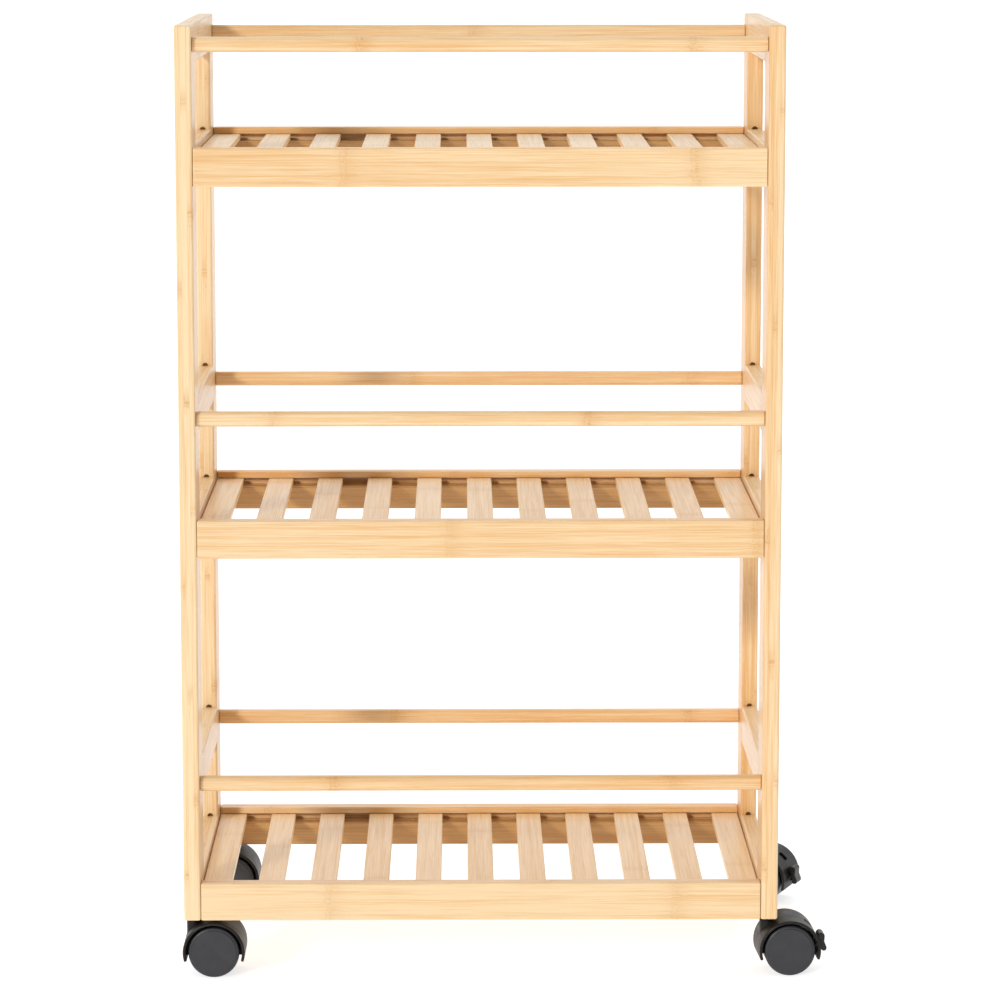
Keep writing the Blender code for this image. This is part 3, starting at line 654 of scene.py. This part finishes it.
# ---- Bamboo pieces ----
def stamp_stock(obj, low, high, axis, through, strips):
    """Writes the stock's frame on a piece: distance along and across the fibres in metres, and the count
    of strips through the lamination, nought at the low face; then its knuckles, seed and tone; then an
    edge mask, one minus the second smallest distance to the box's faces over the edge's width."""
    points = coordinates(obj.data)
    low, high = np.array(low), np.array(high)
    k, t = "XYZ".index(axis), "XYZ".index(through)
    a = 3 - k - t
    name = obj.name.removesuffix("_bamboo")
    seed = sum((i + 1) * ord(letter) for i, letter in enumerate(name)) + STOCK_SEED
    rng = np.random.default_rng(seed)
    shift = rng.uniform(0.0, STOCK_SHIFT, 2)
    along = points[:, k] - low[k]
    layers = STRIP_MARGIN + (strips - 2 * STRIP_MARGIN) * (points[:, t] - low[t]) / (high[t] - low[t])
    grain = np.stack([along + shift[0], points[:, a] - low[a] + shift[1], layers], axis=1)
    own_knuckles = rng.uniform(*FIRST_KNUCKLE_RANGE), rng.uniform(*SPACING_RANGE)
    first, spacing = KNUCKLES.get(name, own_knuckles)
    tone = TONES_AND_PAINTED_LIGHT.get(name, rng.normal(0.0, TONE_SPREAD))
    number = rng.uniform(0.0, STOCK_NUMBERS)
    same = np.ones_like(along)
    stock = np.stack([(along - first) / spacing, number * same, tone * same], axis=1)
    gaps = np.sort(np.minimum(points - low, high - points), axis=1)[:, 1]
    write_attribute(obj.data, "grain", grain)
    write_attribute(obj.data, "stock", stock)
    write_attribute(obj.data, "edge", np.clip(1.0 - gaps / BAR_WEAR_AND_HIGHLIGHT, 0.0, 1.0))


def bamboo_bar(name, low, high, axis, through, radius, strips, material, nodes, cuts=(), end_radius=None):
    """One bar, cut and stamped with its stock."""
    obj = new_object(name, bar(low, high, axis, radius, end_radius))
    if cuts:
        carve(obj, [("DIFFERENCE", rings) for rings in cuts])
    stamp_stock(obj, low, high, axis, through, strips)
    finish_piece(obj, "root", material, nodes)


def frame_bars(nodes, look, axis, through, radius, cuts_of=None, end_radius=None):
    """A bar of three strips in the box of each node, with the cuts that a function gives for it."""
    wood = bpy.context.scene.cart_bamboo
    material = bamboo_material(look, wood.bar_light, wood.bar_dark, wood.knuckle)
    for node in nodes:
        low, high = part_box(node)
        cuts = cuts_of(node) if cuts_of else ()
        bamboo_bar(f"{node}_bamboo", low, high, axis, through, radius, 3, material, [node], cuts, end_radius)


def middle(node):
    low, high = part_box(node)
    return (low + high) / 2


def bolt_places(leg):
    """Y and Z of the bolts through a leg: one into the end of each shelf rail and of each guard bar."""
    end = leg.split("_")[1]
    bars = [node for node in SHELF_RAILS + GUARD_BARS if node.split("_")[2] == end]
    return {node: middle(node) for node in bars}


def outward(leg):
    """-1 for a leg on the left, whose outer face looks along -X, and 1 for one on the right."""
    return -1 if leg.endswith("left") else 1


def leg_cuts(leg):
    """The peg holes at the tops of the side rails, the bore in the foot and the bolts' counterbores."""
    wood = bpy.context.scene.cart_bamboo
    low, high = (np.array(corner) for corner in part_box(leg))
    centre = (low + high) / 2
    inward = 1 if centre[1] < 0 else -1
    inner_face = high[1] if inward > 0 else low[1]
    span = sorted((inner_face - inward * wood.peg_hole_depth, inner_face + inward * OVERSHOOT))
    side = leg.split("_")[2]
    cuts = []
    for rail in SIDE_RAILS:
        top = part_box(rail)[1].z
        if f"_{side}_" in rail and top + wood.peg_hole < high[2]:
            cuts.append(lying(wood.peg_hole / 2, *span, "Y") + (centre[0], 0.0, top))
    bore = lying(wood.foot_bore / 2, -OVERSHOOT, wood.foot_bore_depth, "Z")
    cuts.append(bore + (centre[0], centre[1], low[2]))
    way = outward(leg)
    face = high[0] if way > 0 else low[0]
    span = sorted((face - way * wood.bolt_recess, face + way * OVERSHOOT))
    for node, place in bolt_places(leg).items():
        cuts.append(lying(bolt_radius(node) + GAP, *span, "X") + (0.0, place.y, place.z))
    return cuts


def bolt_radius(node):
    """A shelf rail is held by a full size bolt, a guard bar by a screw with a smaller head."""
    head = bpy.context.scene.cart_bamboo.bolt_head / 2
    return head if node.startswith("shelf") else SCREW_HEAD_SHARE * head


class CART_OT_legs(bpy.types.Operator):
    """Four legs with rounded edges, peg holes, a bored foot and counterbored bolt holes"""

    bl_idname = "cart.legs"
    bl_label = "Legs"

    def execute(self, context):
        frame_bars(LEGS, "leg_bamboo", "Z", "X", context.scene.cart_bamboo.leg_round, leg_cuts)
        return {"FINISHED"}


class CART_OT_bolts(bpy.types.Operator):
    """Hex-socket bolt heads, flush in the outer faces of the legs"""

    bl_idname = "cart.bolts"
    bl_label = "Bolts"

    def execute(self, context):
        wood = context.scene.cart_bamboo
        material = plated_material("bolt_steel", (0.30, 0.30, 0.31), (0.62, 0.62, 0.63), 0.32)
        for leg in LEGS:
            low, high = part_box(leg)
            face = high.x if outward(leg) > 0 else low.x
            for node, place in bolt_places(leg).items():
                radius = bolt_radius(node)
                rings = bolt_head(radius, wood.hex_key * (radius * 2 / wood.bolt_head))
                world = np.roll(rings - (0, 0, wood.bolt_recess - GAP), 1, axis=-1)
                if outward(leg) < 0:
                    world = world * (-1, -1, 1)
                bolt = new_object(f"bolt_{leg[4:]}_{node}", world + (face, place.y, place.z))
                finish_piece(bolt, "root", material)
        return {"FINISHED"}


def bolt_head(radius, key):
    """A low head with a hex socket, as rings about the third axis from its underside up and down into the
    socket, whose radius at angle t is half the key's width over the cosine of t folded into a sixth."""
    angle = np.arange(ROUND_SEGMENTS * 3) * math.tau / (ROUND_SEGMENTS * 3)
    folded = (angle + math.pi / 6) % (math.pi / 3) - math.pi / 6
    hexagon = key / 2 / np.cos(folded)
    height, ease = BOLT_HEIGHT, BOLT_EASE
    profile = [
        (radius - ease, 0.0), (radius, ease), (radius, height - 2 * ease),
        (radius - ease / 2, height - ease / 2), (radius - 2 * ease, height),
        (hexagon * 1.10, height), (hexagon, height - ease / 2),
        (hexagon, BOLT_SOCKET_FLOOR), (hexagon * 0.6, ease),
    ]
    sizes, heights = zip(*profile)
    flat = np.stack([np.asarray(size)[..., None] * unit(angle) for size in sizes])
    return lifted(flat, np.array(heights))


class CART_OT_side_rails(bpy.types.Operator):
    """Twelve rails between the front and rear legs"""

    bl_idname = "cart.side_rails"
    bl_label = "Side rails"

    def execute(self, context):
        frame_bars(SIDE_RAILS, "side_rail_bamboo", "Y", "X", context.scene.cart_bamboo.rail_round)
        return {"FINISHED"}


def slat_groove(rail):
    """The groove for the slats' ends along the inner face of a shelf rail."""
    wood = bpy.context.scene.cart_bamboo
    low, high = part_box(rail)
    slats_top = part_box(f"slat_deck_{rail.rsplit('_', 1)[1]}")[1].z
    if middle(rail).y < 0:
        near, far = high.y - wood.groove, high.y + OVERSHOOT
    else:
        near, far = low.y - OVERSHOOT, low.y + wood.groove
    groove_low = (low.x - OVERSHOOT, near, slats_top - SLAT_THICKNESS - GAP)
    return [bar(groove_low, (high.x + OVERSHOOT, far, slats_top + GAP), "X", CUTTER_EASE)]


class CART_OT_shelf_rails(bpy.types.Operator):
    """Six rails along the front and rear of the shelves"""

    bl_idname = "cart.shelf_rails"
    bl_label = "Shelf rails"

    def execute(self, context):
        wood = context.scene.cart_bamboo
        frame_bars(SHELF_RAILS, "shelf_rail_bamboo", "X", "Y", wood.rail_round, slat_groove)
        return {"FINISHED"}


class CART_OT_guard_bars(bpy.types.Operator):
    """Six rounded guard bars above the shelves"""

    bl_idname = "cart.guard_bars"
    bl_label = "Guard bars"

    def execute(self, context):
        wood = context.scene.cart_bamboo
        frame_bars(GUARD_BARS, "guard_bar_bamboo", "X", "Y", wood.guard_round, end_radius=wood.bar_end)
        return {"FINISHED"}


def spans_at(node, level, axis):
    """The stretches that a deck covers along an axis at its top or bottom face, from its corners."""
    points = coordinates(frame["nodes"][node].data)
    height = points[:, 2].max() if level == "top" else points[:, 2].min()
    level_points = points[np.abs(points[:, 2] - height) < LEVEL]
    edges = np.unique(np.round(level_points[:, "XYZ".index(axis)], 5))
    return edges.reshape(-1, 2)


class CART_OT_decks(bpy.types.Operator):
    """Slats and the two battens under their ends, for each shelf"""

    bl_idname = "cart.decks"
    bl_label = "Decks"

    def execute(self, context):
        wood = context.scene.cart_bamboo
        pale = bamboo_material("slat_bamboo", wood.slat_light, wood.slat_dark, wood.slat_knuckle)
        # The battens take the dark browns as painted shade under the slats.
        batten_shade = bamboo_material("batten_bamboo", wood.batten_light, wood.batten_dark, wood.knuckle)
        for deck in DECKS:
            low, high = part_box(deck)
            tier = deck.rsplit("_", 1)[1]
            under = high.z - SLAT_THICKNESS
            for i, (left, right) in enumerate(spans_at(deck, "top", "X")):
                name = f"slat_{tier}_{i + 1:02d}"
                start, end = (left, low.y, under), (right, high.y, high.z)
                bamboo_bar(name, start, end, "Y", "Z", wood.slat_round, 1, pale, [deck])
            for side, (near, far) in zip(ENDS, spans_at(deck, "bottom", "Y")):
                name = f"batten_{side}_{tier}"
                start, end = (low.x, near, low.z), (high.x, far, under - SLIVER)
                bamboo_bar(name, start, end, "X", "Y", wood.rail_round, 3, batten_shade, [deck])
        return {"FINISHED"}


# ---- Casters ----
MOULD_EASE = 0.0005
WEB_EASE = 0.0006
NECK_FOOT = 0.005  # how far over the axle the neck starts, inside the crown
WEB_REACH = 0.6  # how far into the arch's wall the web stops, as a share of the wall from outside
FACE_CENTRE = 0.001  # radius of the flat that closes a wheel's face
Caster = namedtuple("Caster", "name stem yaw trail axle_height braked")


def casters():
    """Each caster's stem axis and axle, from the joints that turn there."""
    found = []
    for name in (f"caster_{end}_{side}" for end in ENDS for side in SIDES):
        stem = Vector(JOINTS[f"{name}_swivel"]["pos_m"])
        axle = Vector(JOINTS[f"{name}_wheel_front_spin"]["pos_m"])
        run = (axle - stem).to_2d()
        braked = f"{name}_brake_lever" in frame["nodes"]
        found.append(Caster(name, stem.to_2d(), math.atan2(run.y, run.x), run.length, axle.z, braked))
    return found


def straight_caster():
    """The caster that isn't turned, whose box gives the sizes of its pieces."""
    return min(casters(), key=lambda caster: abs(caster.yaw))


def set_down(rings, caster):
    """Takes a body from its axle to its caster: moved out by the trail and up to the axle, turned by the
    yaw, (x cos - y sin, x sin + y cos), and moved to the stem."""
    points = rings + np.array((caster.trail, 0.0, caster.axle_height))
    c, s = math.cos(caster.yaw), math.sin(caster.yaw)
    x = points[..., 0] * c - points[..., 1] * s + caster.stem.x
    y = points[..., 0] * s + points[..., 1] * c + caster.stem.y
    return np.stack([x, y, points[..., 2]], axis=-1)


def place_moulding(obj, half_width, shift, caster):
    """Moves a carved moulding to its caster, with an edge mask that rises near its two sides."""
    local = coordinates(obj.data)
    edge = np.clip(1.0 - (half_width - np.abs(local[:, 1])) / RIM_WEAR_AND_HIGHLIGHT, 0.0, 1.0)
    placed = set_down(local + shift, caster)
    obj.data.vertices.foreach_set("co", placed.astype(np.float32).ravel())
    obj.data.update()
    write_attribute(obj.data, "edge", edge)


def hood_sizes():
    """Outer radius, half width, skirt drop and top of the hood, from the caster that isn't turned."""
    straight = straight_caster()
    low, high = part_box(f"{straight.name}_hood")
    axle_x = straight.stem.x + straight.trail
    return high.x - axle_x, (high.y - low.y) / 2, straight.axle_height - low.z, high.z


def hood_arch():
    """The hood's wall about the axle: a rounded section in (radius, width) carried round the circle of
    the wall's middle, drawn in at both skirts: ((R + a) cos t, b, (R + a) sin t)."""
    plastic = bpy.context.scene.cart_casters
    radius, half_width, drop, _ = hood_sizes()
    middle_radius = radius - plastic.hood_wall / 2
    dip = math.asin(drop / middle_radius)
    length = (math.pi + 2 * dip) * middle_radius
    along, inset = stations(length, plastic.hood_round, ARCH_STATIONS)
    points, normals = rounded_rectangle(plastic.hood_wall / 2, half_width, plastic.hood_round + 2 * FLAT_LIP)
    section = points[None] - inset[:, None, None] * normals[None]
    angle = (along / middle_radius - dip)[:, None]
    reach = middle_radius + section[..., 0]
    return np.stack([reach * np.cos(angle), section[..., 1], reach * np.sin(angle)], axis=-1)


def hood_web():
    """The web between the wheels: a disc cut off level with the skirts, its points at the radius R and at
    angles from one skirt over the crown to the other."""
    plastic = bpy.context.scene.cart_casters
    radius, _, drop, _ = hood_sizes()
    reach = radius - plastic.hood_wall * WEB_REACH
    dip = math.asin((drop - WEB_EASE) / reach)
    normals = unit(np.linspace(-dip, math.pi + dip, WEB_STATIONS))
    return side_view(prism((reach * normals, normals), -plastic.hood_web / 2, plastic.hood_web / 2, WEB_EASE))


def hood_neck(caster):
    """The neck about the stem: straight from inside the crown, and rounded at its top."""
    top = hood_sizes()[3]
    radius, ease = bpy.context.scene.cart_casters.neck / 2, MOULD_EASE
    profile = [(radius, caster.axle_height + NECK_FOOT)]
    profile += quarter_round((radius - ease, top - ease), ease, 0, 90)
    profile += [(radius - ease - FLAT_LIP, top)]
    return turned(profile, 2 * ROUND_SEGMENTS) - (caster.trail, 0.0, caster.axle_height)


def lever_sizes(caster):
    """The lever's pivot from the axle, in the hood's side view, from the joint that it turns on."""
    pivot = Vector(JOINTS[f"{caster.name}_brake"]["pos_m"])
    run = (pivot.to_2d() - caster.stem).length - caster.trail
    return run, pivot.z - caster.axle_height


LEVER_PIVOT_RADIUS = 0.0024
LEVER_WAIST, LEVER_WAIST_RADIUS = (0.0042, 0.0009), 0.0020
LEVER_RELEASE_PAD, LEVER_RELEASE_RADIUS = (0.0035, 0.0056), 0.0031
LEVER_LOCK_PAD, LEVER_LOCK_RADIUS = (0.0058, -0.0046), 0.0025
LEVER_SIDE_GAP = 0.0006
LEVER_EASE, LEVER_NECK_EASE = 0.0008, 0.0004
TRUNNION_RADIUS, TRUNNION_LENGTH = 0.0010, 0.0024
EAR_RADIUS, EAR_WIDTH = 0.0020, 0.0030
WINDOW_REACH = (-0.0052, 0.0044)
SLOT_DEG, SLOT_WIDTH = (38.0, 57.0), 0.008


def brake_cutouts(caster):
    """Ears for the lever's trunnions, its window in the wall, the slot in the crown and the trunnion
    holes. The slot is cut by a bar turned about the axle: (x cos - z sin, y, x sin + z cos)."""
    plastic = bpy.context.scene.cart_casters
    radius = hood_sizes()[0]
    x, z = lever_sizes(caster)
    inner = plastic.lever_neck / 2 + LEVER_SIDE_GAP
    ears, holes = [], []
    for end in (-1, 1):
        span = sorted((end * inner, end * (inner + EAR_WIDTH)))
        ears.append(("UNION", lying(EAR_RADIUS, *span, "Y") + (x, 0.0, z)))
        span = sorted((end * (inner - OVERSHOOT), end * (inner + TRUNNION_LENGTH)))
        holes.append(("DIFFERENCE", lying(TRUNNION_RADIUS + GAP, *span, "Y") + (x, 0.0, z)))
    window_low = (x - LEVER_PIVOT_RADIUS - LEVER_SIDE_GAP, -inner, z + WINDOW_REACH[0])
    window_high = (radius + OVERSHOOT, inner, z + WINDOW_REACH[1])
    window = bar(window_low, window_high, "X", LEVER_EASE)
    turn = math.radians(sum(SLOT_DEG) / 2)
    half = radius * math.sin(math.radians(SLOT_DEG[1] - SLOT_DEG[0]) / 2)
    slot_low = (radius - 4 * plastic.hood_wall, -SLOT_WIDTH / 2, -half)
    slot = bar(slot_low, (radius + OVERSHOOT, SLOT_WIDTH / 2, half), "X", LEVER_EASE)
    c, s = math.cos(turn), math.sin(turn)
    across, up = slot[..., 0] * c - slot[..., 2] * s, slot[..., 0] * s + slot[..., 2] * c
    slot = np.stack([across, slot[..., 1], up], axis=-1)
    return [*ears, ("DIFFERENCE", window), ("DIFFERENCE", slot), *holes]


def wheel_wells(half_width):
    """The space of the two wheels beside the web, which the neck doesn't enter."""
    plastic = bpy.context.scene.cart_casters
    reach = hood_sizes()[0] - plastic.hood_wall - SLIVER
    inner, outer = plastic.hood_web / 2 + SLIVER, half_width + OVERSHOOT
    well = side_view(prism(circle(reach, WHEEL_SEGMENTS), inner, outer, CUTTER_EASE))
    return well, well * (-1, -1, 1)


class CART_OT_hoods(bpy.types.Operator):
    """The casters' moulded hoods, those on the right with a lever window and a slot"""

    bl_idname = "cart.hoods"
    bl_label = "Hoods"

    def execute(self, context):
        plastic = context.scene.cart_casters
        _, half_width, _, top = hood_sizes()
        material = moulded_material("hood_nylon", plastic.hood_colour, 0.42, 2300.0, 0.18)
        for caster in casters():
            bore_top = top - caster.axle_height
            bore_low, bore_high = bore_top - plastic.stem_bore_depth, bore_top + OVERSHOOT
            steps = [("UNION", hood_web()), ("UNION", hood_neck(caster))]
            steps += [("DIFFERENCE", well) for well in wheel_wells(half_width)]
            bore = lying(plastic.stem_bore / 2, bore_low, bore_high, "Z") + (-caster.trail, 0.0, 0.0)
            hole = lying(plastic.axle_hole / 2, -plastic.hood_web, plastic.hood_web, "Y")
            steps += [("DIFFERENCE", bore), ("DIFFERENCE", hole)]
            if caster.braked:
                steps += brake_cutouts(caster)
            hood = new_object(f"{caster.name}_hood_shell", hood_arch())
            carve(hood, steps)
            place_moulding(hood, half_width, (0.0, 0.0, 0.0), caster)
            finish_piece(hood, f"{caster.name}_swivel", material, [f"{caster.name}_hood"])
        return {"FINISHED"}


def wheel_profile(radius, width):
    """Half section of a wheel, from the hub's bore over the hub and through the cup to the rim, then over
    the tread, the rounded edge and the stepped face to the middle: pairs of (radius, height)."""
    plastic = bpy.context.scene.cart_casters
    edge, disc, groove = plastic.wheel_edge, plastic.face_disc * radius, plastic.face_groove
    rim, hub, bore = radius - plastic.wheel_rim, plastic.hub / 2, plastic.hub_bore / 2
    floor = width - plastic.wheel_face
    small = MOULD_EASE
    profile = [(bore, plastic.hub_bore_depth), (bore, small), (bore + small, 0.0)]
    profile += [(hub - small, 0.0), (hub, small), (hub, floor - 3 * small)]
    profile += quarter_round((hub + 3 * small, floor - 3 * small), 3 * small, 180, 90)
    profile += quarter_round((rim - 3 * small, floor - 3 * small), 3 * small, 90, 0)
    profile += [(rim, small), (rim + small, 0.0), (radius - 2 * small, 0.0)]
    profile += quarter_round((radius - 2 * small, 2 * small), 2 * small, 270, 360)
    profile += [(radius, width - edge - groove - small)]
    profile += quarter_round((radius - edge, width - edge - groove), edge, 0, 84)
    profile += [(disc + groove, width - 1.05 * groove), (disc + 0.5 * groove, width - groove)]
    profile += quarter_round((disc - groove / 2, width - groove / 2), groove / 2, 0, 90)
    profile += [(disc - 2 * groove, width), (disc / 2, width), (FACE_CENTRE, width)]
    return profile


class CART_OT_wheels(bpy.types.Operator):
    """Eight moulded wheels, two on each axle"""

    bl_idname = "cart.wheels"
    bl_label = "Wheels"

    def execute(self, context):
        plastic = context.scene.cart_casters
        material = moulded_material("wheel_nylon", plastic.wheel_colour, 0.42, 1900.0)
        straight = straight_caster()
        low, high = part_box(f"{straight.name}_wheel_rear")
        radius, width = (high.z - low.z) / 2, high.y - low.y
        inner = low.y - straight.stem.y
        body = turned(wheel_profile(radius, width)) + (0.0, 0.0, inner)
        from_axle = np.hypot(body[..., 0], body[..., 1]).ravel()
        corner = np.maximum(radius - from_axle, width - (body[..., 2].ravel() - inner))
        edge = np.clip(1.2 - corner / plastic.wheel_edge, 0.0, 1.0)
        for caster in casters():
            for end, turn in (("front", (1, 1, 1)), ("rear", (-1, -1, 1))):
                name = f"{caster.name}_wheel_{end}"
                wheel = new_object(f"{name}_nylon", set_down(side_view(body) * turn, caster))
                write_attribute(wheel.data, "edge", edge)
                finish_piece(wheel, name, material, [name])
        return {"FINISHED"}


class CART_OT_levers(bpy.types.Operator):
    """The brake levers of the right-hand casters"""

    bl_idname = "cart.levers"
    bl_label = "Brake levers"

    def execute(self, context):
        plastic = context.scene.cart_casters
        material = moulded_material("lever_nylon", plastic.lever_colour, 0.38, 2300.0, 0.30)
        release = capsule(LEVER_WAIST, LEVER_WAIST_RADIUS, LEVER_RELEASE_PAD, LEVER_RELEASE_RADIUS)
        lock = capsule(LEVER_WAIST, LEVER_WAIST_RADIUS, LEVER_LOCK_PAD, LEVER_LOCK_RADIUS)
        neck = capsule((0.0, 0.0), LEVER_PIVOT_RADIUS, LEVER_WAIST, LEVER_WAIST_RADIUS)
        half, half_neck = plastic.lever_width / 2, plastic.lever_neck / 2
        reach = half_neck + LEVER_SIDE_GAP + TRUNNION_LENGTH - GAP
        for caster in casters():
            if not caster.braked:
                continue
            x, z = lever_sizes(caster)
            name = f"{caster.name}_brake_lever"
            lever = new_object(f"{name}_nylon", side_view(prism(release, -half, half, LEVER_EASE)))
            carve(lever, [
                ("UNION", side_view(prism(lock, -half, half, LEVER_EASE))),
                ("UNION", side_view(prism(neck, -half_neck, half_neck, LEVER_NECK_EASE))),
                ("UNION", lying(TRUNNION_RADIUS, -reach, reach, "Y")),
            ])
            place_moulding(lever, half, (x, 0.0, z), caster)
            finish_piece(lever, name, material, [name])
        return {"FINISHED"}


class CART_OT_steel(bpy.types.Operator):
    """Zinc plating for the stems, inserts and axles"""

    bl_idname = "cart.steel"
    bl_label = "Steel"

    def execute(self, context):
        material = plated_material("zinc_steel", (0.46, 0.46, 0.47), (0.74, 0.74, 0.75), 0.34)
        for caster in casters():
            for part in ("stem", "insert", "axle"):
                node = frame["nodes"][f"{caster.name}_{part}"]
                node.data.materials.clear()
                node.data.materials.append(material)
        return {"FINISHED"}


# ---- Stage ----
FLOOR_HALF = 60.0
KEY_ANGLE_DEG = 8


def floor_material():
    """A matt pale floor that glows like lit studio paper."""
    stage = bpy.context.scene.cart_stage
    material, g, shader = new_material(
        "studio_floor", Roughness=0.9, Specular_IOR_Level=0.1, Emission_Color=(1.0, 1.0, 1.0, 1.0),
        Emission_Strength=stage.floor_glow,
    )
    place = g.node("ShaderNodeTexCoord").outputs["Object"]
    clouds = g.mix(g.noise(g.scaled(place, 3.0)), rgba(stage.floor), rgba(stage.floor, 0.985))
    g.feed(shader.inputs["Base Color"], clouds)
    return material


def white_room(stage):
    """A room that is white behind the cart and dimmer elsewhere, with light overhead: a smooth step over
    the direction's Y and another over its Z."""
    world = bpy.data.worlds.new("white_room")
    world.use_nodes = True
    g = Graph(world.node_tree)
    way = g.split(g.node("ShaderNodeTexCoord").outputs["Generated"])
    strength = g.node(
        "ShaderNodeMapRange",
        {"Value": way[1], "From Min": -0.1, "From Max": 0.6, "To Min": stage.room, "To Max": stage.backdrop},
        interpolation_type="SMOOTHSTEP",
    )
    overhead = g.times(g.ramp(way[2], 0.15, 0.9), stage.ceiling)
    background = world.node_tree.nodes["Background"]
    background.inputs["Color"].default_value = (1.0, 1.0, 1.0, 1.0)
    g.feed(background.inputs["Strength"], g.add(strength.outputs[0], overhead))
    return world


class CART_OT_stage(bpy.types.Operator):
    """A pale floor, a white room, one soft key light and the camera"""

    bl_idname = "cart.stage"
    bl_label = "Stage"

    def execute(self, context):
        stage = context.scene.cart_stage
        half = FLOOR_HALF
        corners = [(-half, -half, 0.0), (half, -half, 0.0), (half, half, 0.0), (-half, half, 0.0)]
        mesh = bpy.data.meshes.new("studio_floor")
        mesh.from_pydata(corners, [], [(0, 1, 2, 3)])
        mesh.materials.append(floor_material())
        floor = bpy.data.objects.new("studio_floor", mesh)
        context.scene.collection.objects.link(floor)

        context.scene.world = white_room(stage)
        light = bpy.data.lights.new("key", "SUN")
        light.energy = stage.key_strength
        light.angle = math.radians(KEY_ANGLE_DEG)
        light.color = (1.0, 0.99, 0.97)
        key = bpy.data.objects.new("key", light)
        key.rotation_euler = Vector(stage.key_way).to_track_quat("-Z", "Y").to_euler()
        context.scene.collection.objects.link(key)

        camera = bpy.data.cameras.new("camera")
        camera.sensor_width = 36.0
        camera.lens = stage.lens_mm
        camera.clip_start, camera.clip_end = 0.05, 200.0
        viewer = bpy.data.objects.new("camera", camera)
        viewer.location = stage.camera_place
        aim = Vector(stage.camera_aim) - Vector(stage.camera_place)
        viewer.rotation_euler = aim.to_track_quat("-Z", "Y").to_euler()
        context.scene.collection.objects.link(viewer)
        context.scene.camera = viewer
        context.scene.view_settings.view_transform = "Standard"
        return {"FINISHED"}


# ---- Add-on ----
OPERATORS = (
    CART_OT_legs,
    CART_OT_side_rails,
    CART_OT_shelf_rails,
    CART_OT_guard_bars,
    CART_OT_decks,
    CART_OT_bolts,
    CART_OT_hoods,
    CART_OT_wheels,
    CART_OT_levers,
    CART_OT_steel,
    CART_OT_stage,
)


class VIEW3D_PT_cart(bpy.types.Panel):
    """Lists the cart's pieces and their sizes"""

    bl_label = "Rolling Utility Cart"
    bl_idname = "VIEW3D_PT_cart"
    bl_space_type = "VIEW_3D"
    bl_region_type = "UI"
    bl_category = "Cart"

    def draw(self, context):
        for operator in OPERATORS:
            self.layout.operator(operator.bl_idname)
        for settings in (context.scene.cart_bamboo, context.scene.cart_casters, context.scene.cart_stage):
            box = self.layout.box()
            for label in settings.__annotations__:
                box.prop(settings, label)


CLASSES = (CartBamboo, CartCasters, CartStage, *OPERATORS, VIEW3D_PT_cart)


def register():
    for cls in CLASSES:
        bpy.utils.register_class(cls)
    bpy.types.Scene.cart_bamboo = PointerProperty(type=CartBamboo)
    bpy.types.Scene.cart_casters = PointerProperty(type=CartCasters)
    bpy.types.Scene.cart_stage = PointerProperty(type=CartStage)


def unregister():
    del bpy.types.Scene.cart_stage
    del bpy.types.Scene.cart_casters
    del bpy.types.Scene.cart_bamboo
    for cls in reversed(CLASSES):
        bpy.utils.unregister_class(cls)


def main():
    register()
    build_bamboo_figure()
    build_worn_and_highlit_edges()
    build_moulded_skin()
    build_plated_skin()
    bpy.ops.cart.legs()
    bpy.ops.cart.side_rails()
    bpy.ops.cart.shelf_rails()
    bpy.ops.cart.guard_bars()
    bpy.ops.cart.decks()
    bpy.ops.cart.bolts()
    bpy.ops.cart.hoods()
    bpy.ops.cart.wheels()
    bpy.ops.cart.levers()
    bpy.ops.cart.steel()
    bpy.ops.cart.stage()


if __name__ == "__main__":
    main()
